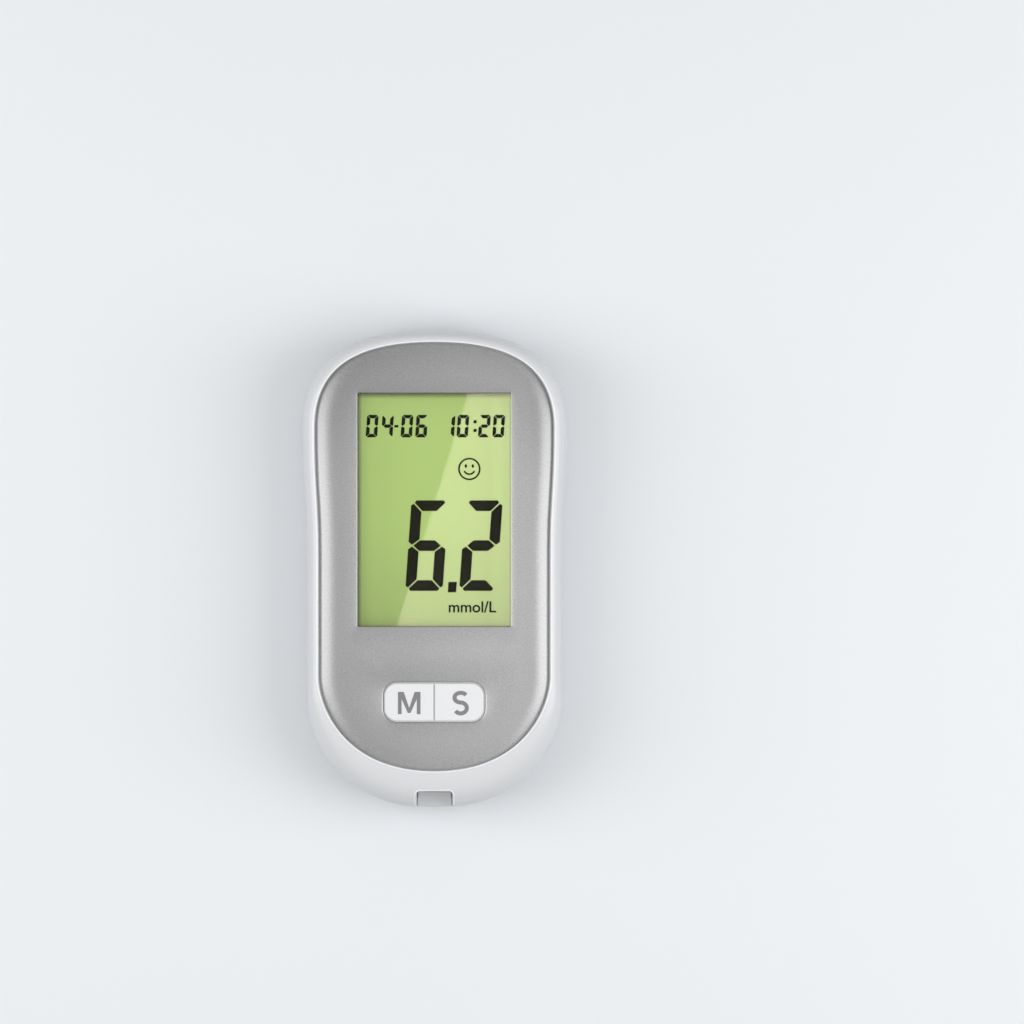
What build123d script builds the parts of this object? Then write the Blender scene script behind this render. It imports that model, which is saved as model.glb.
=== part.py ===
from build123d import *

import math
import os
from dataclasses import dataclass

# A hand-held blood glucose meter, built as the separate pieces it comes apart into.
#
# The meter lies on its back on its four rubber feet. X runs across it, +Y runs from the test strip port
# to the head, and +Z points out of the display. The origin is on the table, under the middle of the case.
# All sizes are in millimetres.

os.makedirs("parts", exist_ok=True)

# ---------------------------------------------------------------------------------------------------
# Driving sizes
# ---------------------------------------------------------------------------------------------------

# The case seen from the front: a pebble that is widest across the head and narrower at the waist.
CASE_LENGTH = 96.7
HEAD_WIDTH = 53.4
WAIST_WIDTH = 51.6
HEAD_DEPTH = 19.6  # from the top down to where the head is widest
WAIST_DEPTH = 46.5  # from the top down to where the sides run straight
HIP_RISE = 21.6  # from the foot up to where the sides turn into the round foot
HEAD_ACROSS = 10.9  # how far the top stays flat, as a curve handle
HEAD_DOWN = 17.9  # how far the shoulder stays upright, as a curve handle
FOOT_ACROSS = 20.8
FOOT_DOWN = 5.7

# The silver face plate, a smaller pebble set high in the case, so that a broad chin shows below it.
PLATE_BELOW_TOP = 2.4
PLATE_ABOVE_FOOT = 7.6
PLATE_HEAD_WIDTH = 48.6
PLATE_WAIST_WIDTH = 47.0
PLATE_HEAD_DEPTH = 17.3
PLATE_HIP_RISE = 19.1
PLATE_HEAD_ACROSS = 10.5
PLATE_HEAD_DOWN = 15.3
PLATE_FOOT_ACROSS = 18.8
PLATE_FOOT_DOWN = 5.4
PLATE_THICKNESS = 1.2
PLATE_RIM_WIDTH = 4.0  # how far in from its edge the plate is rounded over
PLATE_RIM_DROP = 1.0
PLATE_GAP = 0.15  # between the plate's edge and its recess

# The two shells.
SEAM_Z = 9.8
SEAM_GROOVE_DEPTH = 0.25
SEAM_GROOVE_HEIGHT = 0.35
WALL = 1.8
FLOOR = 1.5
BACK_ROUND_IN = 4.6  # how far in the rounding of the back reaches
BACK_ROUND_UP = 6.6
CREST_BELOW_PLATE = 0.4
CREST_WIDTH = 0.3  # the thin flat line that runs round the face plate
RIM_ROUND_DOWN = 5.6  # how far below the crest the side starts to round over
TONGUE_HEIGHT = 1.0
TONGUE_THICKNESS = 0.85
FIT_GAP = 0.1  # between pieces that locate each other
CUT_PAST = 1.0  # how far a cut runs past the surface that it opens
ROUND_STEPS = 3  # sections in each lofted rounding

# The display.
VIEW_WIDTH = 31.0
VIEW_HEIGHT = 47.2
VIEW_BELOW_PLATE_TOP = 10.3
VIEW_CORNER = 0.35
VIEW_BEVEL = 0.12
WINDOW_MARGIN = 1.3
WINDOW_THICKNESS = 1.0
WINDOW_LEDGE = 0.45
WINDOW_REVEAL = 0.3  # how far the ledge stands back from the view
GASKET_THICKNESS = 0.35
GLASS_MARGIN = 1.0
GLASS_THICKNESS = 0.75
GLASS_LEDGE = 2.8  # how far the front glass runs past the rear one, over the zebra strip
REFLECTOR_THICKNESS = 0.4
HOLDER_WALL = 0.8
ZEBRA_WIDTH = 2.0

# The two keys, M and S, that share one rounded opening.
KEYS_WIDTH = 20.0
KEYS_HEIGHT = 7.6
KEYS_CORNER = 2.5
KEYS_ABOVE_PLATE_FOOT = 13.95  # from the plate's foot to the middle of the keys
KEYS_SPLIT = 0.25
KEYS_OPENING_GAP = 0.2
KEYS_OPENING_BEVEL = 0.2
KEY_PROUD = 0.3
KEY_ROUNDING = 0.25
KEY_FLANGE = 0.8  # how far the flange stands out below the front wall
KEY_TRAVEL = 0.35
KEY_SWITCH_X = 5.2
SWITCH_SIZE = 4.6
SWITCH_HEIGHT = 1.3
PLUNGER_RADIUS = 1.2
PLUNGER_PROUD = 0.45
PLUNGER_SEAT = 0.6  # how deep the plunger reaches into the switch
RUNNING_GAP = 0.05

# The two AAA cells, their bay and their contacts.
CELL_DIAMETER = 10.5
CELL_LENGTH = 44.5
CELL_NUB_RADIUS = 1.9
CELL_NUB_HEIGHT = 1.0
CELL_BEVEL = 0.4
CELL_SPACING = 11.2
CELL_CLEARANCE = 0.15
BAY_SIDE_CLEARANCE = 0.3
BAY_WALL = 0.9
BAY_ABOVE_FOOT = 19.5
SADDLE_COUNT = 3  # ribs across the roof of the bay, cut round to the cells
SADDLE_PITCH = 12.0
SADDLE_THICKNESS = 1.0
SADDLE_GAP = 0.2
SADDLE_ABOVE_AXIS = 2.0  # from the cells' axes up to the ribs' lower edge
CONTACT_THICKNESS = 0.3
CONTACT_WIDTH = 8.4
CONTACT_HEIGHT = 8.0
CONTACT_DIMPLE = 0.4
CONTACT_DIMPLE_RADIUS = 2.2
DIMPLE_TAPER = 30.0  # degrees
CONTACT_TAIL_WIDTH = 2.0
SPRING_LENGTH = 3.9
SPRING_WIRE = 0.5
SPRING_WIRE_SIDES = 6  # the wire's section is a many-sided rod, which keeps the coil light
SPRING_BASE_RADIUS = 3.4
SPRING_TURNS = 3.5
SPRING_TAPER = 12.0  # degrees

# The battery door: hooks at its foot end, a snap tongue at its head end.
DOOR_THICKNESS = 1.5
DOOR_OVERLAP = 0.6  # how far it is wider than the bay, on each side
DOOR_GAP = 0.15
DOOR_CORNER = 1.6
DOOR_EDGE = 0.25
DOOR_HEAD_MARGIN = 3.8  # how far it runs past the bay at its head end
DOOR_SEAT_GAP = 0.1
DOOR_RIB_WIDTH = 1.0
DOOR_RIB_HEIGHT = 1.3
DOOR_RIB_LENGTH = 42.0
HINGE_SETBACK = 2.1  # from the bay's end wall to the hinge line
HOOK_WIDTH = 5.0
HOOK_SPACING = 14.0
HOOK_REACH = 1.8
HOOK_ROOT = 0.9  # how far the hook's root runs towards the bay
HOOK_THICKNESS = 0.9
HOOK_LIFT = 0.15
HOOK_ROOM = 2.25  # height of the pocket that the hooks swing in
HOOK_END_GAP = 0.6
HOOK_SIDE_GAP = 0.3
POCKET_WALL = 0.8
SNAP_WIDTH = 8.0
SNAP_THICKNESS = 0.8
SNAP_HEIGHT = 4.6
SNAP_NOSE = 0.35
SNAP_NOSE_HEIGHT = 1.2
SNAP_NOSE_ABOVE_DOOR = 0.2
SNAP_GAP = 0.4
GRIP_RIB_COUNT = 4
GRIP_RIB_PITCH = 1.4
GRIP_RIB_WIDTH = 0.6
GRIP_RIB_LENGTH = 12.0
GRIP_RIB_HEIGHT = 0.25
THUMB_RADIUS = 6.5
THUMB_DEPTH = 0.9
THUMB_SETBACK = 0.8  # from the end of the door's recess to the middle of the dish

# The circuit board and what sits on it.
BOARD_THICKNESS = 1.0
BOARD_GAP = 0.1
BOARD_INSET = 3.3
BOARD_ABOVE_FOOT = 6.0
BOARD_CLEARANCE = 0.3  # round what passes through the board
PROCESSOR_SIZE = (8.0, 8.0, 1.4)
PROCESSOR_ABOVE_FOOT = 52.0
MEMORY_SIZE = (5.0, 4.0, 1.2)
MEMORY_ABOVE_FOOT = 41.0
AMPLIFIER_SIZE = (4.0, 5.0, 1.1)
AMPLIFIER_X = -12.5
AMPLIFIER_ABOVE_FOOT = 11.0
CRYSTAL_RADIUS = 1.0
CRYSTAL_LENGTH = 6.0
CRYSTAL_ABOVE_FOOT = 62.0
CAPACITOR_SIZE = (2.0, 1.25, 0.9)
CAPACITOR_PITCH = (4.0, 3.5)
CAPACITOR_GRID = (2, 3)
CAPACITORS_ABOVE_FOOT = 48.0
RESISTOR_SIZE = (1.6, 0.8, 0.5)
RESISTOR_PITCH = (2.8, 2.2)
RESISTOR_GRID = (3, 3)
RESISTORS_ABOVE_FOOT = 62.0
COMPONENT_STRIP = 5.35  # from the bay's side to the middle of the components beside it
BUZZER_RADIUS = 5.0
BUZZER_HEIGHT = 3.0
BUZZER_BELOW_TOP = 14.0
BUZZER_PORT_COUNT = 3
BUZZER_PORT_RADIUS = 0.7
BUZZER_PORT_PITCH = 2.4

# The test strip port, in a notch at the foot of the case.
NOTCH_DEPTH = 3.2
NOTCH_WIDTH = 6.8
NOTCH_FLARE = 0.25  # how much wider the notch is at its mouth, on each side
NOTCH_CORNER = 0.4
NOTCH_DRAFT = 2.5  # degrees that its walls lean outwards, so that the mould comes away
NOTCH_WALL = 2.6  # the block that stiffens the case round the notch
STRIP_WIDTH = 6.4
STRIP_SLOT = 1.2
GUIDE_THICKNESS = 2.3
GUIDE_BASE_WIDTH = 10.4
GUIDE_SETBACK = 0.25
GUIDE_FALL = 1.5  # how far the ramp falls towards its mouth
GUIDE_BOW = 0.25  # how far below its head the ramp's curve handle lies, as a share of the fall
GUIDE_LAP = 0.2
GUIDE_RIB_WIDTH = 1.0
GUIDE_RIB_SPACING = 8.0
CONNECTOR_WIDTH = 11.0
CONNECTOR_LENGTH = 10.0
CONNECTOR_FLOOR = 0.8
CONNECTOR_ROOF = 1.8
CONNECTOR_GAP = 0.2
CONNECTOR_END_WALL = 1.5
CONTACT_COUNT = 5
CONTACT_PITCH = 1.25
LEAF_WIDTH = 0.6
LEAF_THICKNESS = 0.2
LEAF_BEND_RADIUS = 0.35
LEAF_DIP = 0.7  # how far a leaf reaches down into the strip's slot
LEAF_DIP_SHARE = 0.25  # where along a leaf its dip lies

# Fasteners and feet.
FOOT_RADIUS = 3.0
FOOT_PROUD = 0.6
FOOT_SUNK = 0.5
FOOT_EDGE = 0.2
FOOT_BESIDE_DOOR = 0.8
HEAD_FOOT_BELOW_TOP = 17.5
LOWER_FOOT_X = 10.0
LOWER_FOOT_ABOVE_FOOT = 11.4
HEAD_SCREW_X = 12.2
HEAD_SCREW_BELOW_TOP = 7.8
LOWER_SCREW_BESIDE_BAY = 1.35
LOWER_SCREW_ABOVE_FOOT = 17.5
SCREW_RADIUS = 1.0
SCREW_HEAD_RADIUS = 1.9
SCREW_HEAD_HEIGHT = 1.3
SCREW_LENGTH = 8.0
SCREW_SEAT_DEPTH = 3.4  # from the back of the case up to the seat under the head
SCREW_CROSS_WIDTH = 0.5
SCREW_CROSS_DEPTH = 0.7
CROSS_SHARE = 0.7  # how much of the head's radius the cross takes
SCREW_HOLE_GAP = 0.3
THREAD_GAP = 0.03
POST_RADIUS = 3.1
POST_WALL = 2.0
BOSS_RADIUS = 2.3
BOARD_SCREW_BESIDE_BAY = 6.75
BOARD_SCREW_ABOVE_FOOT = 28.0
BOARD_SCREW_BELOW_TOP = 6.4
BOARD_SCREW_RADIUS = 0.8
BOARD_SCREW_HEAD_RADIUS = 1.6
BOARD_SCREW_HEAD_HEIGHT = 1.0
BOARD_SCREW_LENGTH = 2.8
BOARD_BOSS_RADIUS = 1.8

# ---------------------------------------------------------------------------------------------------
# The stack through the meter's thickness, from the table up
# ---------------------------------------------------------------------------------------------------

back_z = FOOT_PROUD
floor_z = back_z + FLOOR
door_z = back_z + DOOR_THICKNESS
cell_z = door_z + CELL_CLEARANCE + CELL_DIAMETER / 2
bay_roof_z = cell_z + CELL_DIAMETER / 2 + CELL_CLEARANCE
bay_top_z = bay_roof_z + BAY_WALL
board_z = bay_top_z + BOARD_GAP
board_top_z = board_z + BOARD_THICKNESS
rear_glass_z = board_top_z + REFLECTOR_THICKNESS
front_glass_z = rear_glass_z + GLASS_THICKNESS
glass_top_z = front_glass_z + GLASS_THICKNESS
front_wall_z = glass_top_z + GASKET_THICKNESS
window_z = front_wall_z + WINDOW_LEDGE
plate_z = window_z + WINDOW_THICKNESS
plate_top_z = plate_z + PLATE_THICKNESS
key_top_z = plate_top_z + KEY_PROUD
crest_z = plate_top_z - CREST_BELOW_PLATE
side_top_z = crest_z - RIM_ROUND_DOWN
flange_z = board_top_z + SWITCH_HEIGHT + PLUNGER_PROUD
screw_seat_z = back_z + SCREW_SEAT_DEPTH
boss_z = screw_seat_z + POST_WALL + FIT_GAP
case_screw_end_z = screw_seat_z + SCREW_LENGTH + FIT_GAP
board_screw_end_z = board_z + BOARD_SCREW_LENGTH + FIT_GAP
strip_roof_z = board_z - CONNECTOR_ROOF
strip_z = strip_roof_z - STRIP_SLOT
guide_z = strip_z - GUIDE_THICKNESS

# ---------------------------------------------------------------------------------------------------
# Places along the meter
# ---------------------------------------------------------------------------------------------------

top_y = CASE_LENGTH / 2
foot_y = -CASE_LENGTH / 2
plate_head_y = top_y - PLATE_BELOW_TOP
plate_foot_y = foot_y + PLATE_ABOVE_FOOT
view_y = plate_head_y - VIEW_BELOW_PLATE_TOP - VIEW_HEIGHT / 2
keys_y = plate_foot_y + KEYS_ABOVE_PLATE_FOOT
bay_foot_y = foot_y + BAY_ABOVE_FOOT
buzzer_y = top_y - BUZZER_BELOW_TOP
board_foot_y = foot_y + BOARD_ABOVE_FOOT
contact_face = CONTACT_THICKNESS + CONTACT_DIMPLE
bay_length = SPRING_LENGTH + CELL_LENGTH + CONTACT_THICKNESS + contact_face
bay_head_y = bay_foot_y + bay_length
bay_half_width = (CELL_SPACING + CELL_DIAMETER) / 2 + BAY_SIDE_CLEARANCE
bay_outer_half_width = bay_half_width + BAY_WALL
door_half_width = bay_half_width + DOOR_OVERLAP
door_head_y = bay_head_y + DOOR_HEAD_MARGIN
recess_head_y = door_head_y + DOOR_GAP
thumb_y = recess_head_y + THUMB_SETBACK
knuckle_radius = DOOR_THICKNESS / 2
knuckle_z = back_z + knuckle_radius
hinge_y = bay_foot_y - BAY_WALL - HINGE_SETBACK
recess_foot_y = hinge_y - knuckle_radius - DOOR_GAP
hook_pocket_foot_y = hinge_y - HOOK_REACH - HOOK_END_GAP
hook_pocket_half_width = (HOOK_SPACING + HOOK_WIDTH) / 2 + HOOK_SIDE_GAP
hook_z = floor_z + HOOK_LIFT
snap_y = recess_head_y - SNAP_GAP - SNAP_NOSE - SNAP_THICKNESS / 2
snap_pocket_z = door_z + SNAP_HEIGHT + SNAP_GAP
notch_y = foot_y + NOTCH_DEPTH
notch_block_head_y = notch_y + NOTCH_WALL
connector_foot_y = notch_block_head_y + CONNECTOR_GAP
connector_head_y = connector_foot_y + CONNECTOR_LENGTH
view_foot_y = view_y - VIEW_HEIGHT / 2
window_pocket = WINDOW_MARGIN + FIT_GAP
glass_half_width = VIEW_WIDTH / 2 + GLASS_MARGIN
glass_head_y = view_y + VIEW_HEIGHT / 2 + GLASS_MARGIN
rear_glass_foot_y = view_foot_y - GLASS_MARGIN
front_glass_foot_y = rear_glass_foot_y - GLASS_LEDGE

# ---------------------------------------------------------------------------------------------------
# Outlines and helpers
# ---------------------------------------------------------------------------------------------------


@dataclass
class Pebble:
    """Half-sizes of a closed outline that is symmetric about X = 0: a round head, a waist, a round foot."""

    top: float
    foot: float
    head: float
    waist: float
    head_y: float
    waist_y: float
    hip_y: float
    head_across: float
    head_down: float
    foot_across: float
    foot_down: float

    def inset(self, depth):
        """The same form with its edge moved in by depth, or out where depth is negative."""
        head, waist = self.head - depth, self.waist - depth
        top, foot = self.top - depth, self.foot + depth
        head_share = (top - self.head_y) / (self.top - self.head_y)
        foot_share = (foot - self.hip_y) / (self.foot - self.hip_y)
        return Pebble(
            top, foot, head, waist, self.head_y, self.waist_y, self.hip_y,
            self.head_across * head / self.head, self.head_down * head_share,
            self.foot_across * waist / self.waist, self.foot_down * foot_share,
        )

    def blend(self, other, share):
        """The form that lies that share of the way from this outline to the other."""
        pairs = zip(vars(self).values(), vars(other).values())
        return Pebble(*(a + (b - a) * share for a, b in pairs))

    def draw(self, mode=Mode.ADD):
        """Fills this outline in the current sketch, or cuts it out."""
        bend_y = (self.head_y + self.waist_y) / 2
        with BuildLine() as edge:
            Bezier(
                (0, self.top), (self.head_across, self.top),
                (self.head, self.head_y + self.head_down), (self.head, self.head_y),
            )
            Bezier(
                (self.head, self.head_y), (self.head, bend_y),
                (self.waist, bend_y), (self.waist, self.waist_y),
            )
            Line((self.waist, self.waist_y), (self.waist, self.hip_y))
            Bezier(
                (self.waist, self.hip_y), (self.waist, self.hip_y - self.foot_down),
                (self.foot_across, self.foot), (0, self.foot),
            )
            mirror(about=Plane.YZ)
        make_face(edge.edges(), mode=mode)


waist_y = top_y - WAIST_DEPTH
case = Pebble(
    top_y, foot_y, HEAD_WIDTH / 2, WAIST_WIDTH / 2, top_y - HEAD_DEPTH, waist_y, foot_y + HIP_RISE,
    HEAD_ACROSS, HEAD_DOWN, FOOT_ACROSS, FOOT_DOWN,
)
recess = Pebble(
    plate_head_y, plate_foot_y, PLATE_HEAD_WIDTH / 2, PLATE_WAIST_WIDTH / 2,
    plate_head_y - PLATE_HEAD_DEPTH, waist_y, plate_foot_y + PLATE_HIP_RISE,
    PLATE_HEAD_ACROSS, PLATE_HEAD_DOWN, PLATE_FOOT_ACROSS, PLATE_FOOT_DOWN,
)
crest = recess.inset(-CREST_WIDTH)
plate = recess.inset(PLATE_GAP)


def loft_outlines(sections):
    """Lofts the current part through (height, outline) pairs."""
    faces = []
    for height, outline in sections:
        with BuildSketch(Plane.XY.offset(height)) as section:
            outline.draw()
        faces.append(section.sketch)
    loft(sections=faces)


def upright(outline, low, high):
    """Adds a wall-sided solid with that outline, between two heights."""
    with BuildSketch(Plane.XY.offset(low)) as section:
        outline.draw()
    extrude(section.sketch, amount=high - low)


def quarter(steps):
    """Angles in radians from nothing to a right angle, in equal steps."""
    return [math.pi / 2 * step / steps for step in range(steps + 1)]


def front_outline(height):
    """The front shell's outer edge at a height: upright sides, then an elliptical round up to the crest."""
    rise = min(max(height - side_top_z, 0) / RIM_ROUND_DOWN, 1)
    return case.blend(crest, 1 - math.sqrt(1 - rise**2))


def back_outline(height):
    """The rear shell's outer edge at a height: an elliptical round from the back, then upright sides."""
    fall = min(max(1 - (height - back_z) / BACK_ROUND_UP, 0), 1)
    return case.inset(BACK_ROUND_IN * (1 - math.sqrt(1 - fall**2)))


def block(x, y, z, mode=Mode.ADD):
    """Adds or cuts a block that spans the (low, high) pairs x, y and z."""
    spans = (x, y, z)
    with Locations(tuple((low + high) / 2 for low, high in spans)):
        Box(*(high - low for low, high in spans), mode=mode)


def either_side(half_width, center=0.0):
    """The (low, high) pair of that half-width about a centre."""
    return (center - half_width, center + half_width)


def both_sides(*places):
    """Each (x, y) place and its mirror image across the middle of the meter."""
    return [(side * x, y) for x, y in places for side in (1, -1)]


def centred(count):
    """That many steps of one, with their middle at nothing, such as -1, 0 and 1."""
    return [rank - (count - 1) / 2 for rank in range(count)]


def column(places, radius, z, mode=Mode.ADD):
    """Adds or cuts upright cylinders at the (x, y) places, between the heights in z."""
    low, high = z
    with Locations(*((x, y, low) for x, y in places)):
        Cylinder(radius, high - low, align=STANDING, mode=mode)


def save(builder, name):
    """Labels a finished piece and writes its STEP file."""
    builder.part.label = name
    export_step(builder.part, f"parts/{name}.step")


STANDING = (Align.CENTER, Align.CENTER, Align.MIN)
case_screws_at = both_sides(
    (HEAD_SCREW_X, top_y - HEAD_SCREW_BELOW_TOP),
    (bay_outer_half_width + POST_RADIUS + LOWER_SCREW_BESIDE_BAY, foot_y + LOWER_SCREW_ABOVE_FOOT),
)
board_screws_at = [
    *both_sides((bay_outer_half_width + BOARD_SCREW_BESIDE_BAY, foot_y + BOARD_SCREW_ABOVE_FOOT)),
    (0, top_y - BOARD_SCREW_BELOW_TOP),
]
feet_at = both_sides(
    (door_half_width + FOOT_RADIUS + FOOT_BESIDE_DOOR, top_y - HEAD_FOOT_BELOW_TOP),
    (LOWER_FOOT_X, foot_y + LOWER_FOOT_ABOVE_FOOT),
)
ports_at = [(BUZZER_PORT_PITCH * step, buzzer_y) for step in centred(BUZZER_PORT_COUNT)]
components_x = bay_outer_half_width + COMPONENT_STRIP
contacts_at = (-CELL_SPACING / 2, CELL_SPACING / 2)
bay_middle_y = (bay_foot_y + bay_head_y) / 2
saddles_y = [bay_middle_y + SADDLE_PITCH * step for step in centred(SADDLE_COUNT)]
saddle_z = cell_z + SADDLE_ABOVE_AXIS

# ---------------------------------------------------------------------------------------------------
# Forms that more than one piece is cut from
# ---------------------------------------------------------------------------------------------------

# The notch for the test strip, seen from the front: a little wider at its mouth.
with BuildSketch() as notch_form:
    with BuildLine():
        inner, mouth = NOTCH_WIDTH / 2, NOTCH_WIDTH / 2 + NOTCH_FLARE
        mouth_y = foot_y - CUT_PAST
        Polyline((-inner, notch_y), (inner, notch_y), (mouth, mouth_y), (-mouth, mouth_y), close=True)
    make_face()
    fillet(notch_form.vertices().group_by(Axis.Y)[-1], NOTCH_CORNER)

with BuildSketch() as keys_form:
    with Locations((0, keys_y)):
        RectangleRounded(KEYS_WIDTH, KEYS_HEIGHT, KEYS_CORNER)

with BuildPart() as front_form:
    upright(case, SEAM_Z, side_top_z)
    rounding = [side_top_z + RIM_ROUND_DOWN * math.sin(angle) for angle in quarter(ROUND_STEPS)]
    loft_outlines([(z, front_outline(z)) for z in rounding])

with BuildPart() as front_cavity:
    upright(case.inset(WALL), SEAM_Z - CUT_PAST, side_top_z)
    heights = [side_top_z, (side_top_z + front_wall_z) / 2, front_wall_z]
    loft_outlines([(z, front_outline(z).inset(WALL)) for z in heights])
    # The block round the notch stays solid.
    block(
        either_side(NOTCH_WIDTH / 2 + NOTCH_FLARE + NOTCH_WALL),
        (foot_y, notch_block_head_y), (strip_z, front_wall_z), mode=Mode.SUBTRACT,
    )

with BuildPart() as rear_form:
    back_top_z = back_z + BACK_ROUND_UP
    rounding = [back_top_z - BACK_ROUND_UP * math.cos(angle) for angle in quarter(ROUND_STEPS)]
    loft_outlines([(z, back_outline(z)) for z in rounding])
    upright(case, back_top_z, SEAM_Z)

with BuildPart() as rear_cavity:
    rounding = [back_top_z - (back_top_z - floor_z) * math.cos(angle) for angle in quarter(ROUND_STEPS)]
    loft_outlines([(z, back_outline(z).inset(WALL)) for z in rounding])
    upright(case.inset(WALL), back_top_z, SEAM_Z + CUT_PAST)
    # The floor is thicker above the thumb dish.
    column([(0, thumb_y)], THUMB_RADIUS + WALL, (floor_z, floor_z + THUMB_DEPTH), mode=Mode.SUBTRACT)

# ---------------------------------------------------------------------------------------------------
# The case
# ---------------------------------------------------------------------------------------------------

with BuildPart() as front_shell:
    add(front_form.part)
    add(front_cavity.part, mode=Mode.SUBTRACT)
    # The rebate that takes the rear shell's tongue, and the shadow groove round the seam.
    with BuildSketch(Plane.XY.offset(SEAM_Z)):
        case.inset(WALL - TONGUE_THICKNESS - FIT_GAP).draw()
        case.inset(WALL + FIT_GAP).draw(mode=Mode.SUBTRACT)
    extrude(amount=TONGUE_HEIGHT + FIT_GAP, mode=Mode.SUBTRACT)
    with BuildSketch(Plane.XY.offset(SEAM_Z)):
        case.inset(-CUT_PAST).draw()
        case.inset(SEAM_GROOVE_DEPTH).draw(mode=Mode.SUBTRACT)
    extrude(amount=SEAM_GROOVE_HEIGHT, mode=Mode.SUBTRACT)
    # The recess for the face plate, the window's pocket, and the ledge's opening below it.
    with BuildSketch(Plane.XY.offset(plate_z)):
        recess.draw()
    extrude(amount=PLATE_THICKNESS, mode=Mode.SUBTRACT)
    with BuildSketch(Plane.XY.offset(window_z)):
        with Locations((0, view_y)):
            Rectangle(VIEW_WIDTH + 2 * window_pocket, VIEW_HEIGHT + 2 * window_pocket)
    extrude(amount=WINDOW_THICKNESS, mode=Mode.SUBTRACT)
    with BuildSketch(Plane.XY.offset(front_wall_z)):
        with Locations((0, view_y)):
            Rectangle(VIEW_WIDTH + 2 * WINDOW_REVEAL, VIEW_HEIGHT + 2 * WINDOW_REVEAL)
    extrude(amount=WINDOW_LEDGE, mode=Mode.SUBTRACT)
    # The keys' opening.
    with BuildSketch(Plane.XY.offset(front_wall_z)):
        offset(keys_form.sketch, KEYS_OPENING_GAP, mode=Mode.ADD)
    extrude(amount=plate_z - front_wall_z, mode=Mode.SUBTRACT)
    # Bosses for the case screws and for the board's screws.
    column(case_screws_at, BOSS_RADIUS, (boss_z, window_z))
    column(case_screws_at, SCREW_RADIUS + THREAD_GAP, (boss_z, case_screw_end_z), mode=Mode.SUBTRACT)
    column(board_screws_at, BOARD_BOSS_RADIUS, (board_top_z, window_z))
    column(
        board_screws_at, BOARD_SCREW_RADIUS + THREAD_GAP, (board_top_z, board_screw_end_z),
        mode=Mode.SUBTRACT,
    )
    # The notch, and the slot that the strip goes through.
    with BuildSketch(Plane.XY.offset(SEAM_Z)):
        add(notch_form.sketch)
    extrude(amount=plate_top_z - SEAM_Z, taper=-NOTCH_DRAFT, mode=Mode.SUBTRACT)
    block(
        either_side(STRIP_WIDTH / 2), (notch_y - FIT_GAP, notch_block_head_y), (strip_z, strip_roof_z),
        mode=Mode.SUBTRACT,
    )
save(front_shell, "front_shell")

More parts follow.
